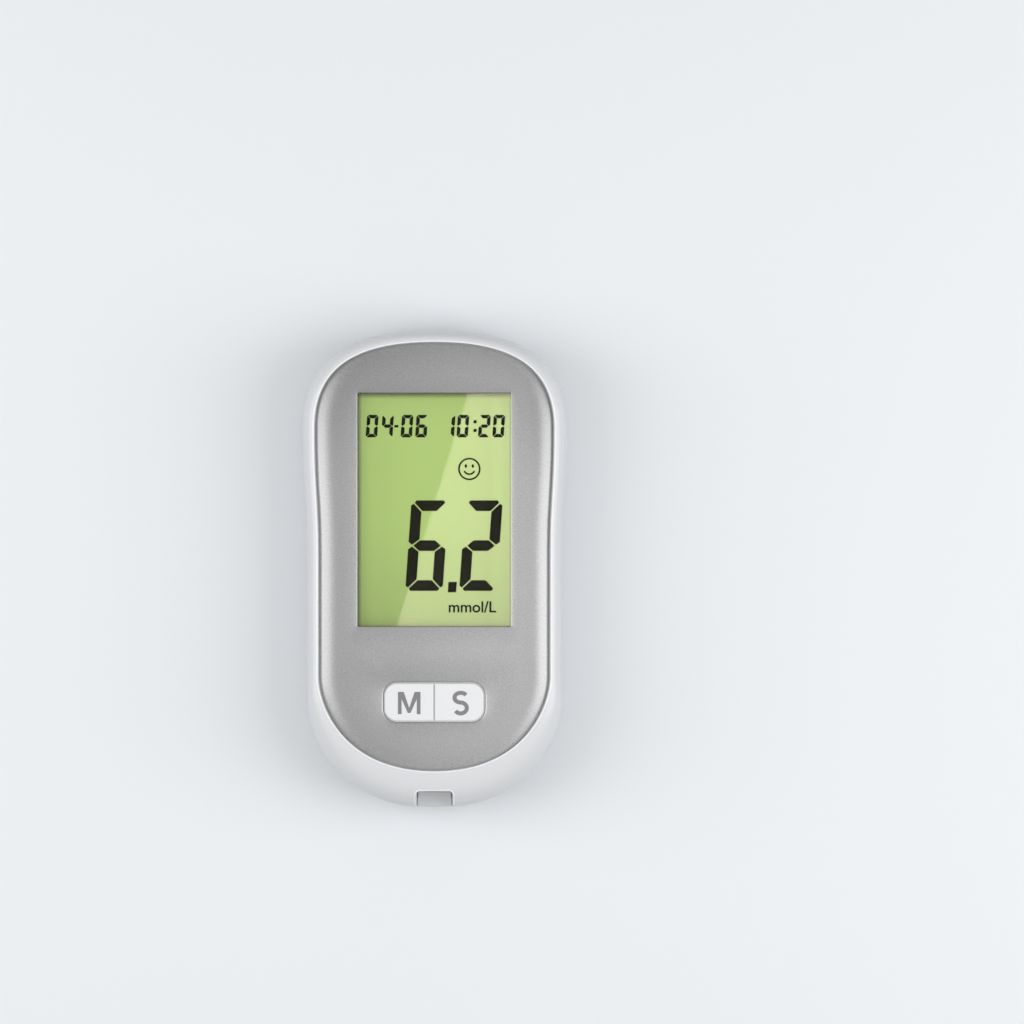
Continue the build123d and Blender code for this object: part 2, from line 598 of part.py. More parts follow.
with BuildPart() as rear_shell:
    add(rear_form.part)
    add(rear_cavity.part, mode=Mode.SUBTRACT)
    with BuildSketch(Plane.XY.offset(SEAM_Z)):
        case.inset(WALL - TONGUE_THICKNESS).draw()
        case.inset(WALL).draw(mode=Mode.SUBTRACT)
    extrude(amount=TONGUE_HEIGHT)
    # The battery bay, with the hooks' pocket at its foot and the snap's pocket at its head.
    block(
        either_side(bay_outer_half_width), (bay_foot_y - BAY_WALL, bay_head_y + BAY_WALL),
        (floor_z, bay_top_z),
    )
    block(
        either_side(bay_outer_half_width), (hook_pocket_foot_y - POCKET_WALL, bay_foot_y),
        (floor_z, floor_z + HOOK_ROOM + POCKET_WALL),
    )
    block(
        either_side(bay_outer_half_width), (bay_head_y, recess_head_y + POCKET_WALL),
        (floor_z, door_z + POCKET_WALL),
    )
    block(
        either_side(SNAP_WIDTH / 2 + SNAP_GAP + POCKET_WALL), (bay_head_y, recess_head_y + POCKET_WALL),
        (floor_z, snap_pocket_z + POCKET_WALL),
    )
    block(
        either_side(door_half_width + DOOR_GAP), (recess_foot_y, recess_head_y),
        (back_z, door_z + DOOR_SEAT_GAP), mode=Mode.SUBTRACT,
    )
    block(either_side(bay_half_width), (bay_foot_y, bay_head_y), (back_z, bay_roof_z), mode=Mode.SUBTRACT)
    block(
        either_side(hook_pocket_half_width), (hook_pocket_foot_y, bay_foot_y - BAY_WALL),
        (floor_z, floor_z + HOOK_ROOM), mode=Mode.SUBTRACT,
    )
    block(
        either_side(SNAP_WIDTH / 2 + SNAP_GAP), (bay_head_y + BAY_WALL, recess_head_y),
        (door_z, snap_pocket_z), mode=Mode.SUBTRACT,
    )
    # The ribs that hold the cells in line.
    with BuildSketch(*(Plane.XZ.offset(-y) for y in saddles_y)):
        with Locations((0, (saddle_z + bay_roof_z) / 2)):
            Rectangle(2 * bay_half_width, bay_roof_z - saddle_z)
        with Locations(*((x, cell_z) for x in contacts_at)):
            Circle(CELL_DIAMETER / 2 + SADDLE_GAP, mode=Mode.SUBTRACT)
    extrude(amount=SADDLE_THICKNESS / 2, both=True)
    # Slots in the bay's roof for the tails of the two head contacts.
    for x in contacts_at:
        block(
            either_side(CONTACT_TAIL_WIDTH / 2 + FIT_GAP, x),
            (bay_head_y - CONTACT_THICKNESS - FIT_GAP, bay_head_y), (bay_roof_z, bay_top_z),
            mode=Mode.SUBTRACT,
        )
    # Posts for the case screws, each with a deep seat for the head.
    column(case_screws_at, POST_RADIUS, (back_z + FLOOR / 2, screw_seat_z + POST_WALL))
    column(
        case_screws_at, SCREW_HEAD_RADIUS + SCREW_HOLE_GAP, (back_z - CUT_PAST, screw_seat_z),
        mode=Mode.SUBTRACT,
    )
    column(
        case_screws_at, SCREW_RADIUS + SCREW_HOLE_GAP, (screw_seat_z, screw_seat_z + POST_WALL),
        mode=Mode.SUBTRACT,
    )
    # Pockets for the feet, the buzzer's ports and the thumb dish beside the door.
    column(feet_at, FOOT_RADIUS + FIT_GAP, (back_z, back_z + FOOT_SUNK), mode=Mode.SUBTRACT)
    column(ports_at, BUZZER_PORT_RADIUS, (back_z, floor_z), mode=Mode.SUBTRACT)
    dish_radius = (THUMB_RADIUS**2 + THUMB_DEPTH**2) / (2 * THUMB_DEPTH)
    with Locations((0, thumb_y, back_z + THUMB_DEPTH - dish_radius)):
        Sphere(dish_radius, rotation=(90, 0, 0), mode=Mode.SUBTRACT)
    # The gap in the wall that the strip guide fills, and the two ribs that carry the guide.
    with BuildSketch(Plane.XY.offset(guide_z)):
        add(notch_form.sketch)
    extrude(amount=SEAM_Z + TONGUE_HEIGHT - guide_z, mode=Mode.SUBTRACT)
    for x in either_side(GUIDE_RIB_SPACING / 2):
        block(either_side(GUIDE_RIB_WIDTH / 2, x), (notch_y, notch_block_head_y), (floor_z, guide_z))
save(rear_shell, "rear_shell")

with BuildPart() as face_plate:
    rim_z = plate_top_z - PLATE_RIM_DROP
    upright(plate, plate_z, rim_z)
    sections = []
    for angle in quarter(ROUND_STEPS):
        inset = PLATE_RIM_WIDTH * (1 - math.cos(angle))
        sections.append((rim_z + PLATE_RIM_DROP * math.sin(angle), plate.inset(inset)))
    loft_outlines(sections)
    with BuildSketch(Plane.XY.offset(plate_z)):
        with Locations((0, view_y)):
            RectangleRounded(VIEW_WIDTH, VIEW_HEIGHT, VIEW_CORNER)
        offset(keys_form.sketch, KEYS_OPENING_GAP, mode=Mode.ADD)
    extrude(amount=PLATE_THICKNESS, mode=Mode.SUBTRACT)
    for rank, bevel in ((0, KEYS_OPENING_BEVEL), (1, VIEW_BEVEL)):
        top = face_plate.faces().filter_by(Axis.Z).sort_by(Axis.Z)[-1]
        chamfer(top.inner_wires().sort_by(SortBy.LENGTH)[rank].edges(), bevel)
save(face_plate, "face_plate")

# ---------------------------------------------------------------------------------------------------
# The display
# ---------------------------------------------------------------------------------------------------


def glass_outline(y, margin=0.0):
    """Draws a rectangle as wide as the glass and as long as the pair y, grown by margin all round."""
    low, high = y
    with Locations((0, (low + high) / 2)):
        Rectangle(2 * (glass_half_width + margin), high - low + 2 * margin)


with BuildPart() as display_window:
    with BuildSketch(Plane.XY.offset(window_z)):
        with Locations((0, view_y)):
            Rectangle(VIEW_WIDTH + 2 * WINDOW_MARGIN, VIEW_HEIGHT + 2 * WINDOW_MARGIN)
    extrude(amount=WINDOW_THICKNESS)
save(display_window, "display_window")

rear_glass_y = (rear_glass_foot_y, glass_head_y)
front_glass_y = (front_glass_foot_y, glass_head_y)

with BuildPart() as lcd_reflector:
    with BuildSketch(Plane.XY.offset(board_top_z)):
        glass_outline(rear_glass_y)
    extrude(amount=REFLECTOR_THICKNESS)
save(lcd_reflector, "lcd_reflector")

with BuildPart() as lcd_rear_glass:
    with BuildSketch(Plane.XY.offset(rear_glass_z)):
        glass_outline(rear_glass_y)
    extrude(amount=GLASS_THICKNESS)
save(lcd_rear_glass, "lcd_rear_glass")

with BuildPart() as lcd_front_glass:
    with BuildSketch(Plane.XY.offset(front_glass_z)):
        glass_outline(front_glass_y)
    extrude(amount=GLASS_THICKNESS)
save(lcd_front_glass, "lcd_front_glass")

with BuildPart() as display_gasket:
    with BuildSketch(Plane.XY.offset(glass_top_z)):
        glass_outline(rear_glass_y)
        with Locations((0, view_y)):
            Rectangle(VIEW_WIDTH + 2 * WINDOW_REVEAL, VIEW_HEIGHT + 2 * WINDOW_REVEAL, mode=Mode.SUBTRACT)
    extrude(amount=GASKET_THICKNESS)
save(display_gasket, "display_gasket")

with BuildPart() as lcd_holder:
    with BuildSketch(Plane.XY.offset(board_top_z)):
        glass_outline(front_glass_y, FIT_GAP + HOLDER_WALL)
    extrude(amount=front_wall_z - board_top_z)
    fillet(lcd_holder.edges().filter_by(Axis.Z), HOLDER_WALL)
    with BuildSketch(Plane.XY.offset(board_top_z)):
        glass_outline(front_glass_y, FIT_GAP)
    extrude(amount=front_wall_z - board_top_z, mode=Mode.SUBTRACT)
save(lcd_holder, "lcd_holder")

with BuildPart() as zebra_strip:
    zebra_y = (front_glass_foot_y + rear_glass_foot_y) / 2
    block(
        either_side(glass_half_width), either_side(ZEBRA_WIDTH / 2, zebra_y), (board_top_z, front_glass_z)
    )
save(zebra_strip, "zebra_strip")

# ---------------------------------------------------------------------------------------------------
# The keys and their switches
# ---------------------------------------------------------------------------------------------------

for name, side in (("m", -1), ("s", 1)):
    with BuildPart() as key:
        with BuildSketch(Plane.XY.offset(flange_z)):
            add(keys_form.sketch)
            with Locations((side * KEYS_SPLIT / 2, keys_y)):
                half = (Align.MIN if side > 0 else Align.MAX, Align.CENTER)
                Rectangle(KEYS_WIDTH, KEYS_HEIGHT, align=half, mode=Mode.INTERSECT)
        extrude(amount=key_top_z - flange_z)
        fillet(key.faces().sort_by(Axis.Z)[-1].edges(), KEY_ROUNDING)
        with BuildSketch(Plane.XY.offset(flange_z)):
            offset(keys_form.sketch, KEY_FLANGE, mode=Mode.ADD)
            with Locations((side * KEYS_SPLIT / 2, keys_y)):
                Rectangle(CASE_LENGTH, CASE_LENGTH, align=half, mode=Mode.INTERSECT)
        extrude(amount=front_wall_z - flange_z)
    save(key, f"{name}_key")

    switch_at = (side * KEY_SWITCH_X, keys_y)
    switch_top_z = board_top_z + SWITCH_HEIGHT
    with BuildPart() as switch_body:
        block(
            either_side(SWITCH_SIZE / 2, switch_at[0]), either_side(SWITCH_SIZE / 2, keys_y),
            (board_top_z, switch_top_z),
        )
        well_z = switch_top_z - PLUNGER_SEAT - KEY_TRAVEL - RUNNING_GAP
        column([switch_at], PLUNGER_RADIUS + RUNNING_GAP, (well_z, switch_top_z), mode=Mode.SUBTRACT)
    save(switch_body, f"{name}_switch_body")

    with BuildPart() as plunger:
        column([switch_at], PLUNGER_RADIUS, (switch_top_z - PLUNGER_SEAT, flange_z))
    save(plunger, f"{name}_switch_plunger")

# ---------------------------------------------------------------------------------------------------
# The circuit board
# ---------------------------------------------------------------------------------------------------

with BuildPart() as main_board:
    with BuildSketch(Plane.XY.offset(board_z)):
        case.inset(BOARD_INSET).draw()
        with Locations((0, board_foot_y)):
            Rectangle(CASE_LENGTH, CASE_LENGTH, align=(Align.CENTER, Align.MAX), mode=Mode.SUBTRACT)
        with Locations(*case_screws_at):
            Circle(BOSS_RADIUS + BOARD_CLEARANCE, mode=Mode.SUBTRACT)
        with Locations(*board_screws_at):
            Circle(BOARD_SCREW_RADIUS + FIT_GAP, mode=Mode.SUBTRACT)
        with Locations(*((x, bay_head_y - CONTACT_THICKNESS / 2) for x in contacts_at)):
            tail_slot = (CONTACT_TAIL_WIDTH + 2 * FIT_GAP, CONTACT_THICKNESS + 2 * FIT_GAP)
            Rectangle(*tail_slot, mode=Mode.SUBTRACT)
    extrude(amount=BOARD_THICKNESS)
save(main_board, "main_board")


def hang(size, places):
    """Adds boxes of one size that hang below the board at the (x, y) places."""
    width, length, height = size
    with Locations(*((x, y, board_z - height) for x, y in places)):
        Box(width, length, height, align=STANDING)


for name, size, place in (
    ("processor_chip", PROCESSOR_SIZE, (components_x, foot_y + PROCESSOR_ABOVE_FOOT)),
    ("memory_chip", MEMORY_SIZE, (components_x, foot_y + MEMORY_ABOVE_FOOT)),
    ("amplifier_chip", AMPLIFIER_SIZE, (AMPLIFIER_X, foot_y + AMPLIFIER_ABOVE_FOOT)),
):
    with BuildPart() as chip:
        hang(size, [place])
    save(chip, name)

for name, size, pitch, grid, above_foot in (
    ("board_capacitors", CAPACITOR_SIZE, CAPACITOR_PITCH, CAPACITOR_GRID, CAPACITORS_ABOVE_FOOT),
    ("board_resistors", RESISTOR_SIZE, RESISTOR_PITCH, RESISTOR_GRID, RESISTORS_ABOVE_FOOT),
):
    with BuildPart() as group:
        spots = GridLocations(*pitch, *grid)
        middle_y = foot_y + above_foot
        hang(size, [(spot.position.X - components_x, spot.position.Y + middle_y) for spot in spots])
    save(group, name)

crystal_at = (components_x, foot_y + CRYSTAL_ABOVE_FOOT, board_z - CRYSTAL_RADIUS)
with BuildPart(Plane(crystal_at, z_dir=(0, 1, 0))) as clock_crystal:
    Cylinder(CRYSTAL_RADIUS, CRYSTAL_LENGTH)
save(clock_crystal, "clock_crystal")

with BuildPart() as buzzer:
    column([(0, buzzer_y)], BUZZER_RADIUS, (board_z - BUZZER_HEIGHT, board_z))
    column([(0, buzzer_y)], BUZZER_PORT_RADIUS, (board_z - BUZZER_HEIGHT, board_z - BUZZER_HEIGHT / 2),
           mode=Mode.SUBTRACT)
save(buzzer, "buzzer")

# ---------------------------------------------------------------------------------------------------
# The test strip port
# ---------------------------------------------------------------------------------------------------

with BuildPart() as strip_guide:
    # The ramp that leads the strip in, seen from the side. Its sides follow the notch.
    guide_mouth_y = foot_y + GUIDE_SETBACK
    with BuildSketch(Plane.YZ):
        with BuildLine():
            Line((notch_block_head_y, guide_z), (guide_mouth_y, guide_z))
            Line((guide_mouth_y, guide_z), (guide_mouth_y, strip_z - GUIDE_FALL))
            Bezier(
                (guide_mouth_y, strip_z - GUIDE_FALL),
                ((guide_mouth_y + notch_y) / 2, strip_z - GUIDE_FALL * GUIDE_BOW),
                (notch_y, strip_z),
            )
            Line((notch_y, strip_z), (notch_block_head_y, strip_z))
            Line((notch_block_head_y, strip_z), (notch_block_head_y, guide_z))
        make_face()
    extrude(amount=NOTCH_WIDTH, both=True)
    with BuildSketch(Plane.XY.offset(guide_z)):
        offset(notch_form.sketch, -FIT_GAP, mode=Mode.ADD)
    extrude(amount=strip_z - guide_z, mode=Mode.INTERSECT)
    block(either_side(GUIDE_BASE_WIDTH / 2), (notch_y - GUIDE_LAP, notch_block_head_y), (guide_z, strip_z))
save(strip_guide, "strip_guide")

# The leaves lie side by side in grooves that open into the strip's slot.
leaves_x = [CONTACT_PITCH * step for step in centred(CONTACT_COUNT)]
leaf_tail_y = connector_head_y - CONNECTOR_END_WALL

with BuildPart() as strip_connector:
    block(
        either_side(CONNECTOR_WIDTH / 2), (connector_foot_y, connector_head_y),
        (strip_z - CONNECTOR_FLOOR, board_z),
    )
    block(
        either_side(STRIP_WIDTH / 2), (connector_foot_y, leaf_tail_y - CONNECTOR_END_WALL),
        (strip_z, strip_roof_z), mode=Mode.SUBTRACT,
    )
    for x in leaves_x:
        block(
            either_side(LEAF_WIDTH / 2 + FIT_GAP, x),
            (connector_foot_y + CONNECTOR_END_WALL, leaf_tail_y + FIT_GAP), (strip_roof_z, board_z),
            mode=Mode.SUBTRACT,
        )
save(strip_connector, "strip_connector")

with BuildPart() as strip_contacts:
    tail_y = leaf_tail_y - LEAF_THICKNESS / 2
    shelf_z = strip_roof_z + LEAF_THICKNESS
    nose_y = connector_foot_y + CONNECTOR_END_WALL + LEAF_THICKNESS
    dip = (nose_y + (tail_y - nose_y) * LEAF_DIP_SHARE, strip_roof_z - LEAF_DIP)
    with BuildSketch(*(Plane.YZ.offset(x - LEAF_WIDTH / 2) for x in leaves_x)):
        with BuildLine() as leaf:
            FilletPolyline(
                (tail_y, board_z), (tail_y, shelf_z), (leaf_tail_y - CONNECTOR_END_WALL, shelf_z), dip,
                (nose_y, shelf_z), radius=LEAF_BEND_RADIUS,
            )
        trace(leaf.edges(), LEAF_THICKNESS)
    extrude(amount=LEAF_WIDTH)
save(strip_contacts, "strip_contacts")

# ---------------------------------------------------------------------------------------------------
# The cells, their springs and contacts
# ---------------------------------------------------------------------------------------------------

# The left cell's nub points at the head and the right cell's at the foot. Each stands on a spring.
link_face_y = bay_foot_y + CONTACT_THICKNESS
head_face_y = bay_head_y - CONTACT_THICKNESS
for name, side, spring_foot_y in (("left", -1, link_face_y), ("right", 1, head_face_y)):
    along = (0, -side, 0)
    x = side * CELL_SPACING / 2
    flat_end_y = spring_foot_y - side * SPRING_LENGTH
    with BuildPart(Plane((x, flat_end_y, cell_z), z_dir=along)) as cell:
        body_length = CELL_LENGTH - CELL_NUB_HEIGHT
        Cylinder(CELL_DIAMETER / 2, body_length, align=STANDING)
        chamfer(cell.edges().filter_by(GeomType.CIRCLE), CELL_BEVEL)
        with Locations((0, 0, body_length)):
            Cylinder(CELL_NUB_RADIUS, CELL_NUB_HEIGHT, align=STANDING)
    save(cell, f"{name}_cell")

    coil_height = SPRING_LENGTH - SPRING_WIRE
    with BuildPart() as spring:
        with BuildLine():
            coil = Helix(
                coil_height / SPRING_TURNS, coil_height, SPRING_BASE_RADIUS,
                center=(x, spring_foot_y - side * SPRING_WIRE / 2, cell_z), direction=along,
                cone_angle=-SPRING_TAPER,
            )
        with BuildSketch(Plane(coil @ 0, z_dir=coil % 0)):
            RegularPolygon(SPRING_WIRE / 2, SPRING_WIRE_SIDES)
        sweep(path=coil, is_frenet=True)
    save(spring, f"{name}_cell_spring")


def contact_plate(x, face_y, reach):
    """Adds a contact that lies against an end of the bay, from face_y back by reach along Y."""
    back_y = face_y + reach
    block(
        either_side(CONTACT_WIDTH / 2, x), (min(face_y, back_y), max(face_y, back_y)),
        either_side(CONTACT_HEIGHT / 2, cell_z),
    )


def contact_dimple(x, face_y, direction):
    """Adds the raised round spot that a cell's nub rests on."""
    with BuildSketch(Plane((x, face_y, cell_z), z_dir=(0, direction, 0))) as spot:
        Circle(CONTACT_DIMPLE_RADIUS)
    extrude(spot.sketch, amount=CONTACT_DIMPLE, taper=DIMPLE_TAPER)


for name, x in (("positive_contact", contacts_at[0]), ("negative_contact", contacts_at[1])):
    with BuildPart() as contact:
        contact_plate(x, head_face_y, CONTACT_THICKNESS)
        block(
            either_side(CONTACT_TAIL_WIDTH / 2, x), (head_face_y, bay_head_y),
            (cell_z + CONTACT_HEIGHT / 2, board_top_z),
        )
        if name == "positive_contact":
            contact_dimple(x, head_face_y, -1)
    save(contact, name)

with BuildPart() as link_contact:
    for x in contacts_at:
        contact_plate(x, link_face_y, -CONTACT_THICKNESS)
    block(
        either_side(CELL_SPACING / 2), (bay_foot_y, link_face_y),
        either_side(CONTACT_TAIL_WIDTH, cell_z),
    )
    contact_dimple(contacts_at[1], link_face_y, 1)
save(link_contact, "link_contact")

# ---------------------------------------------------------------------------------------------------
# The battery door
# ---------------------------------------------------------------------------------------------------

with BuildPart() as battery_door:
    block(either_side(door_half_width), (hinge_y, door_head_y), (back_z, door_z))
    fillet(battery_door.edges().filter_by(Axis.Z).group_by(Axis.Y)[-1], DOOR_CORNER)
    chamfer(battery_door.edges().group_by(Axis.Z)[0].sort_by(Axis.Y)[1:], DOOR_EDGE)
    # The rounded edge that it turns on, and the hooks that reach over the case's floor.
    with BuildSketch(Plane.YZ):
        with Locations((hinge_y, knuckle_z)):
            Circle(knuckle_radius)
    extrude(amount=door_half_width, both=True)
    for x in either_side(HOOK_SPACING / 2):
        hook_x = either_side(HOOK_WIDTH / 2, x)
        block(hook_x, (hinge_y, hinge_y + HOOK_ROOT), (knuckle_z, hook_z + HOOK_THICKNESS))
        block(hook_x, (hinge_y - HOOK_REACH, hinge_y), (hook_z, hook_z + HOOK_THICKNESS))
    # The rib between the cells.
    block(
        either_side(DOOR_RIB_WIDTH / 2), either_side(DOOR_RIB_LENGTH / 2, bay_middle_y),
        (door_z, door_z + DOOR_RIB_HEIGHT),
    )
    # The snap tongue, with its nose.
    snap_face_y = snap_y + SNAP_THICKNESS / 2
    block(
        either_side(SNAP_WIDTH / 2), either_side(SNAP_THICKNESS / 2, snap_y),
        (door_z, door_z + SNAP_HEIGHT),
    )
    with BuildSketch(Plane.YZ):
        with BuildLine():
            nose_z = door_z + SNAP_NOSE_ABOVE_DOOR
            Polyline(
                (snap_face_y, nose_z), (snap_face_y + SNAP_NOSE, nose_z + SNAP_NOSE),
                (snap_face_y, nose_z + SNAP_NOSE_HEIGHT), close=True,
            )
        make_face()
    extrude(amount=SNAP_WIDTH / 2, both=True)
    # Ribs on the outside, where the thumb pushes.
    for rank in range(GRIP_RIB_COUNT):
        grip_y = snap_y - (rank + 1) * GRIP_RIB_PITCH
        block(
            either_side(GRIP_RIB_LENGTH / 2), either_side(GRIP_RIB_WIDTH / 2, grip_y),
            (back_z - GRIP_RIB_HEIGHT, back_z),
        )
save(battery_door, "battery_door")

# ---------------------------------------------------------------------------------------------------
# Fasteners and feet
# ---------------------------------------------------------------------------------------------------


def screw(places, seat_z, length, radius, head_radius, head_height):
    """Adds screws that point up, with a cross in the underside of each head."""
    column(places, radius, (seat_z, seat_z + length))
    column(places, head_radius, (seat_z - head_height, seat_z))
    for x, y in places:
        for wide, tall in ((head_radius, SCREW_CROSS_WIDTH / 2), (SCREW_CROSS_WIDTH / 2, head_radius)):
            block(
                either_side(wide * CROSS_SHARE, x), either_side(tall * CROSS_SHARE, y),
                (seat_z - head_height, seat_z - head_height + SCREW_CROSS_DEPTH), mode=Mode.SUBTRACT,
            )


with BuildPart() as case_screws:
    screw(
        case_screws_at, screw_seat_z, SCREW_LENGTH, SCREW_RADIUS, SCREW_HEAD_RADIUS, SCREW_HEAD_HEIGHT
    )
save(case_screws, "case_screws")

with BuildPart() as board_screws:
    screw(
        board_screws_at, board_z, BOARD_SCREW_LENGTH, BOARD_SCREW_RADIUS, BOARD_SCREW_HEAD_RADIUS,
        BOARD_SCREW_HEAD_HEIGHT,
    )
save(board_screws, "board_screws")

with BuildPart() as rubber_feet:
    column(feet_at, FOOT_RADIUS, (0, back_z + FOOT_SUNK))
    chamfer(rubber_feet.edges().group_by(Axis.Z)[0], FOOT_EDGE)
save(rubber_feet, "rubber_feet")
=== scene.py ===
# %% [markdown]
# # A blood glucose meter
# The meter lies on its back on a pale table, with its display up. Its case, keys, display and battery
# door come from a CAD model, which gives every size and every joint. This lesson gives those pieces
# their finishes, and adds what a mould or a printer adds: the figures on the display and the letters
# on the keys. All places are in millimetres on the meter and become metres when a mesh is made.

# %% Load the CAD frame
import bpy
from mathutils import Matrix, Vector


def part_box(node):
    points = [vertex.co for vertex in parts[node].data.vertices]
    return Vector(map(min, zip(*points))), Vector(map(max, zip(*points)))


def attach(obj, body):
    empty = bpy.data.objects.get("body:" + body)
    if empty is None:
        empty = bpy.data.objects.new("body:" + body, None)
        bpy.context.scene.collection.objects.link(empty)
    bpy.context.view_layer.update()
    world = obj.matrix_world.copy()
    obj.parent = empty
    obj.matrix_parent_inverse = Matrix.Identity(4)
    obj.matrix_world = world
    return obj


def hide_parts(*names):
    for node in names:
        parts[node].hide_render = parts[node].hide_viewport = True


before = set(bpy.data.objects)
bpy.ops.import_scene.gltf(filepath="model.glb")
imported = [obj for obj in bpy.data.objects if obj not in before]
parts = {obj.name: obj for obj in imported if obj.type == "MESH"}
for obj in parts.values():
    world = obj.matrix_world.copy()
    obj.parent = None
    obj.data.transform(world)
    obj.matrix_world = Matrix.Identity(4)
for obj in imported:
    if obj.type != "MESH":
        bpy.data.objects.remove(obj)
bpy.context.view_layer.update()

# %% [markdown]
# ## Tools
# Colours are written as a screen shows them, from 0 to 255. A few short functions make the shader nodes,
# set them and link them.

import bpy
import numpy as np
from mathutils import Vector
from mathutils.bvhtree import BVHTree
from mathutils.geometry import delaunay_2d_cdt

MM = 0.001


def srgb(red, green, blue):
    """A display colour from 0 to 255 as the linear colour that Blender works in."""
    share = np.array([red, green, blue]) / 255
    linear = np.where(share <= 0.04045, share / 12.92, ((share + 0.055) / 1.055) ** 2.4)
    return (*(float(value) for value in linear), 1.0)


def box_mm(node):
    """A CAD node's lowest and highest corners at rest, in mm."""
    low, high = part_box(node)
    return np.array(low) / MM, np.array(high) / MM


# %% Shared shader nodes


def add_node(tree, kind, inputs=(), **settings):
    """A shader node with its settings. Each input is another node's output, or a number or a colour."""
    node = tree.nodes.new(f"ShaderNode{kind}")
    for name, value in settings.items():
        setattr(node, name, value)
    for label, value in dict(inputs).items():
        if isinstance(value, bpy.types.NodeSocket):
            tree.links.new(value, node.inputs[label])
        else:
            node.inputs[label].default_value = value
    return node


def math_node(tree, operation, *signals):
    """The result of a Math node on outputs or numbers."""
    return add_node(tree, "Math", enumerate(signals), operation=operation).outputs[0]


def map_range(tree, signal, given, wanted=(0.0, 1.0), curve="LINEAR"):
    """A signal that goes from one given value to the other, made to go between the wanted ones."""
    ends = dict(zip(("From Min", "From Max", "To Min", "To Max"), (*given, *wanted)))
    return add_node(tree, "MapRange", {"Value": signal, **ends}, interpolation_type=curve).outputs["Result"]


def coordinates(tree, kind="Object"):
    """A point's X, Y and Z, as the three outputs of one node."""
    where = add_node(tree, "TexCoord").outputs[kind]
    return add_node(tree, "SeparateXYZ", {0: where}).outputs


# %% [markdown]
# ## Camera
# A product like this is shown straight from the front. A short lens would make the head look larger
# than the foot, and an orthographic camera would lose all depth in the notch. A long lens, far away,
# keeps the outline true and still shows a little of the walls.

# %% Camera
VIEW_CENTRE = (15.70, 11.6)  # mm on the meter, in the middle of the picture
VIEW_WIDTH = 206.7
VIEW_DISTANCE = 1600.0
FACE_HEIGHT = 19.8
SENSOR = 36.0

camera_data = bpy.data.cameras.new("camera")
camera_data.sensor_width = SENSOR
camera_data.lens = SENSOR * VIEW_DISTANCE / VIEW_WIDTH
camera = bpy.data.objects.new("camera", camera_data)
camera.location = np.array((*VIEW_CENTRE, FACE_HEIGHT + VIEW_DISTANCE)) * MM
bpy.context.scene.collection.objects.link(camera)
bpy.context.scene.camera = camera
print("lens", round(camera_data.lens, 1), "mm")

# %% [markdown]
# ## Light
# A white case on a pale table needs soft light from both sides, so that its edges turn grey and its
# crest stays bright. One overhead lamp would flatten it. Two tall soft boxes stand left and right, the
# sky fills in from above, and a slim card over the display puts a slanting reflection on the film under
# its figures.

# %% Lamps and sky
SKY_TOP, SKY_HORIZON = 0.50, 0.26
SKY_FULL_AT = 0.42  # how steep a direction is where the sky reaches its top level, 1 being straight up
LAMPS = {  # place in mm, size in mm, watts
    "soft_box_left": ((-430, 20, 370), (330, 640), 1.42),
    "soft_box_right": ((430, -30, 370), (330, 640), 1.6),
}
CARD_PLACE, CARD_SIZE, CARD_TURN, CARD_WATTS = (36.55, -1.0, 619.8), (90, 110), -17.0, 0.0315
METER_MIDDLE = (0, 0, 10)


def soft_box(name, place, size, watts, target=METER_MIDDLE):
    """A rectangular lamp at a place, turned to shine at a target, all in mm."""
    data = bpy.data.lights.new(name, "AREA")
    data.shape = "RECTANGLE"
    data.size, data.size_y = size[0] * MM, size[1] * MM
    data.energy = watts
    lamp = bpy.data.objects.new(name, data)
    lamp.location = np.array(place) * MM
    away = Vector((np.array(place) - np.array(target)) * MM)
    lamp.rotation_euler = away.to_track_quat("Z", "Y").to_euler()
    bpy.context.scene.collection.objects.link(lamp)
    return lamp


for name, (place, size, watts) in LAMPS.items():
    soft_box(name, place, size, watts)
card = soft_box("reflection_card", CARD_PLACE, CARD_SIZE, CARD_WATTS, target=(*CARD_PLACE[:2], 0))
card.rotation_euler = (0, 0, np.radians(CARD_TURN))

world = bpy.data.worlds.new("studio_sky")
world.use_nodes = True
sky_tree = world.node_tree
background = sky_tree.nodes["Background"]
upwards = coordinates(sky_tree, "Generated")["Z"]
level = map_range(sky_tree, upwards, (0.0, SKY_FULL_AT), (SKY_HORIZON, SKY_TOP))
sky_tree.links.new(level, background.inputs["Strength"])
background.inputs["Color"].default_value = (1, 1, 1, 1)
bpy.context.scene.world = world
bpy.context.scene.view_settings.view_transform = "Standard"
print(len(LAMPS) + 1, "lamps under a sky from", SKY_HORIZON, "to", SKY_TOP)

# %% [markdown]
# ## Meshes from arrays
# Nearly every new piece is a stack of rings: closed outlines with the same number of points, one above
# the other, joined by four-sided faces and closed by one flat face at each end. That covers a key with a
# rounded edge, a slab of glass and a printed figure, and the faces always come out pointing the same way.

# %% Rings into a mesh
CORNER_STEPS = 10


def ring_faces(rings, points):
    """Quads between each ring and the next, with the last point of a ring joined to its first."""
    ring, point = np.meshgrid(np.arange(rings - 1), np.arange(points), indexing="ij")
    after = (point + 1) % points
    here, above = ring * points, (ring + 1) * points
    return np.stack([here + point, here + after, above + after, above + point], -1).reshape(-1, 4)


def mesh_from(name, places, faces):
    """A mesh from points in mm and faces of any number of corners."""
    mesh = bpy.data.meshes.new(name)
    mesh.from_pydata((places * MM).tolist(), [], faces)
    mesh.update()
    return mesh


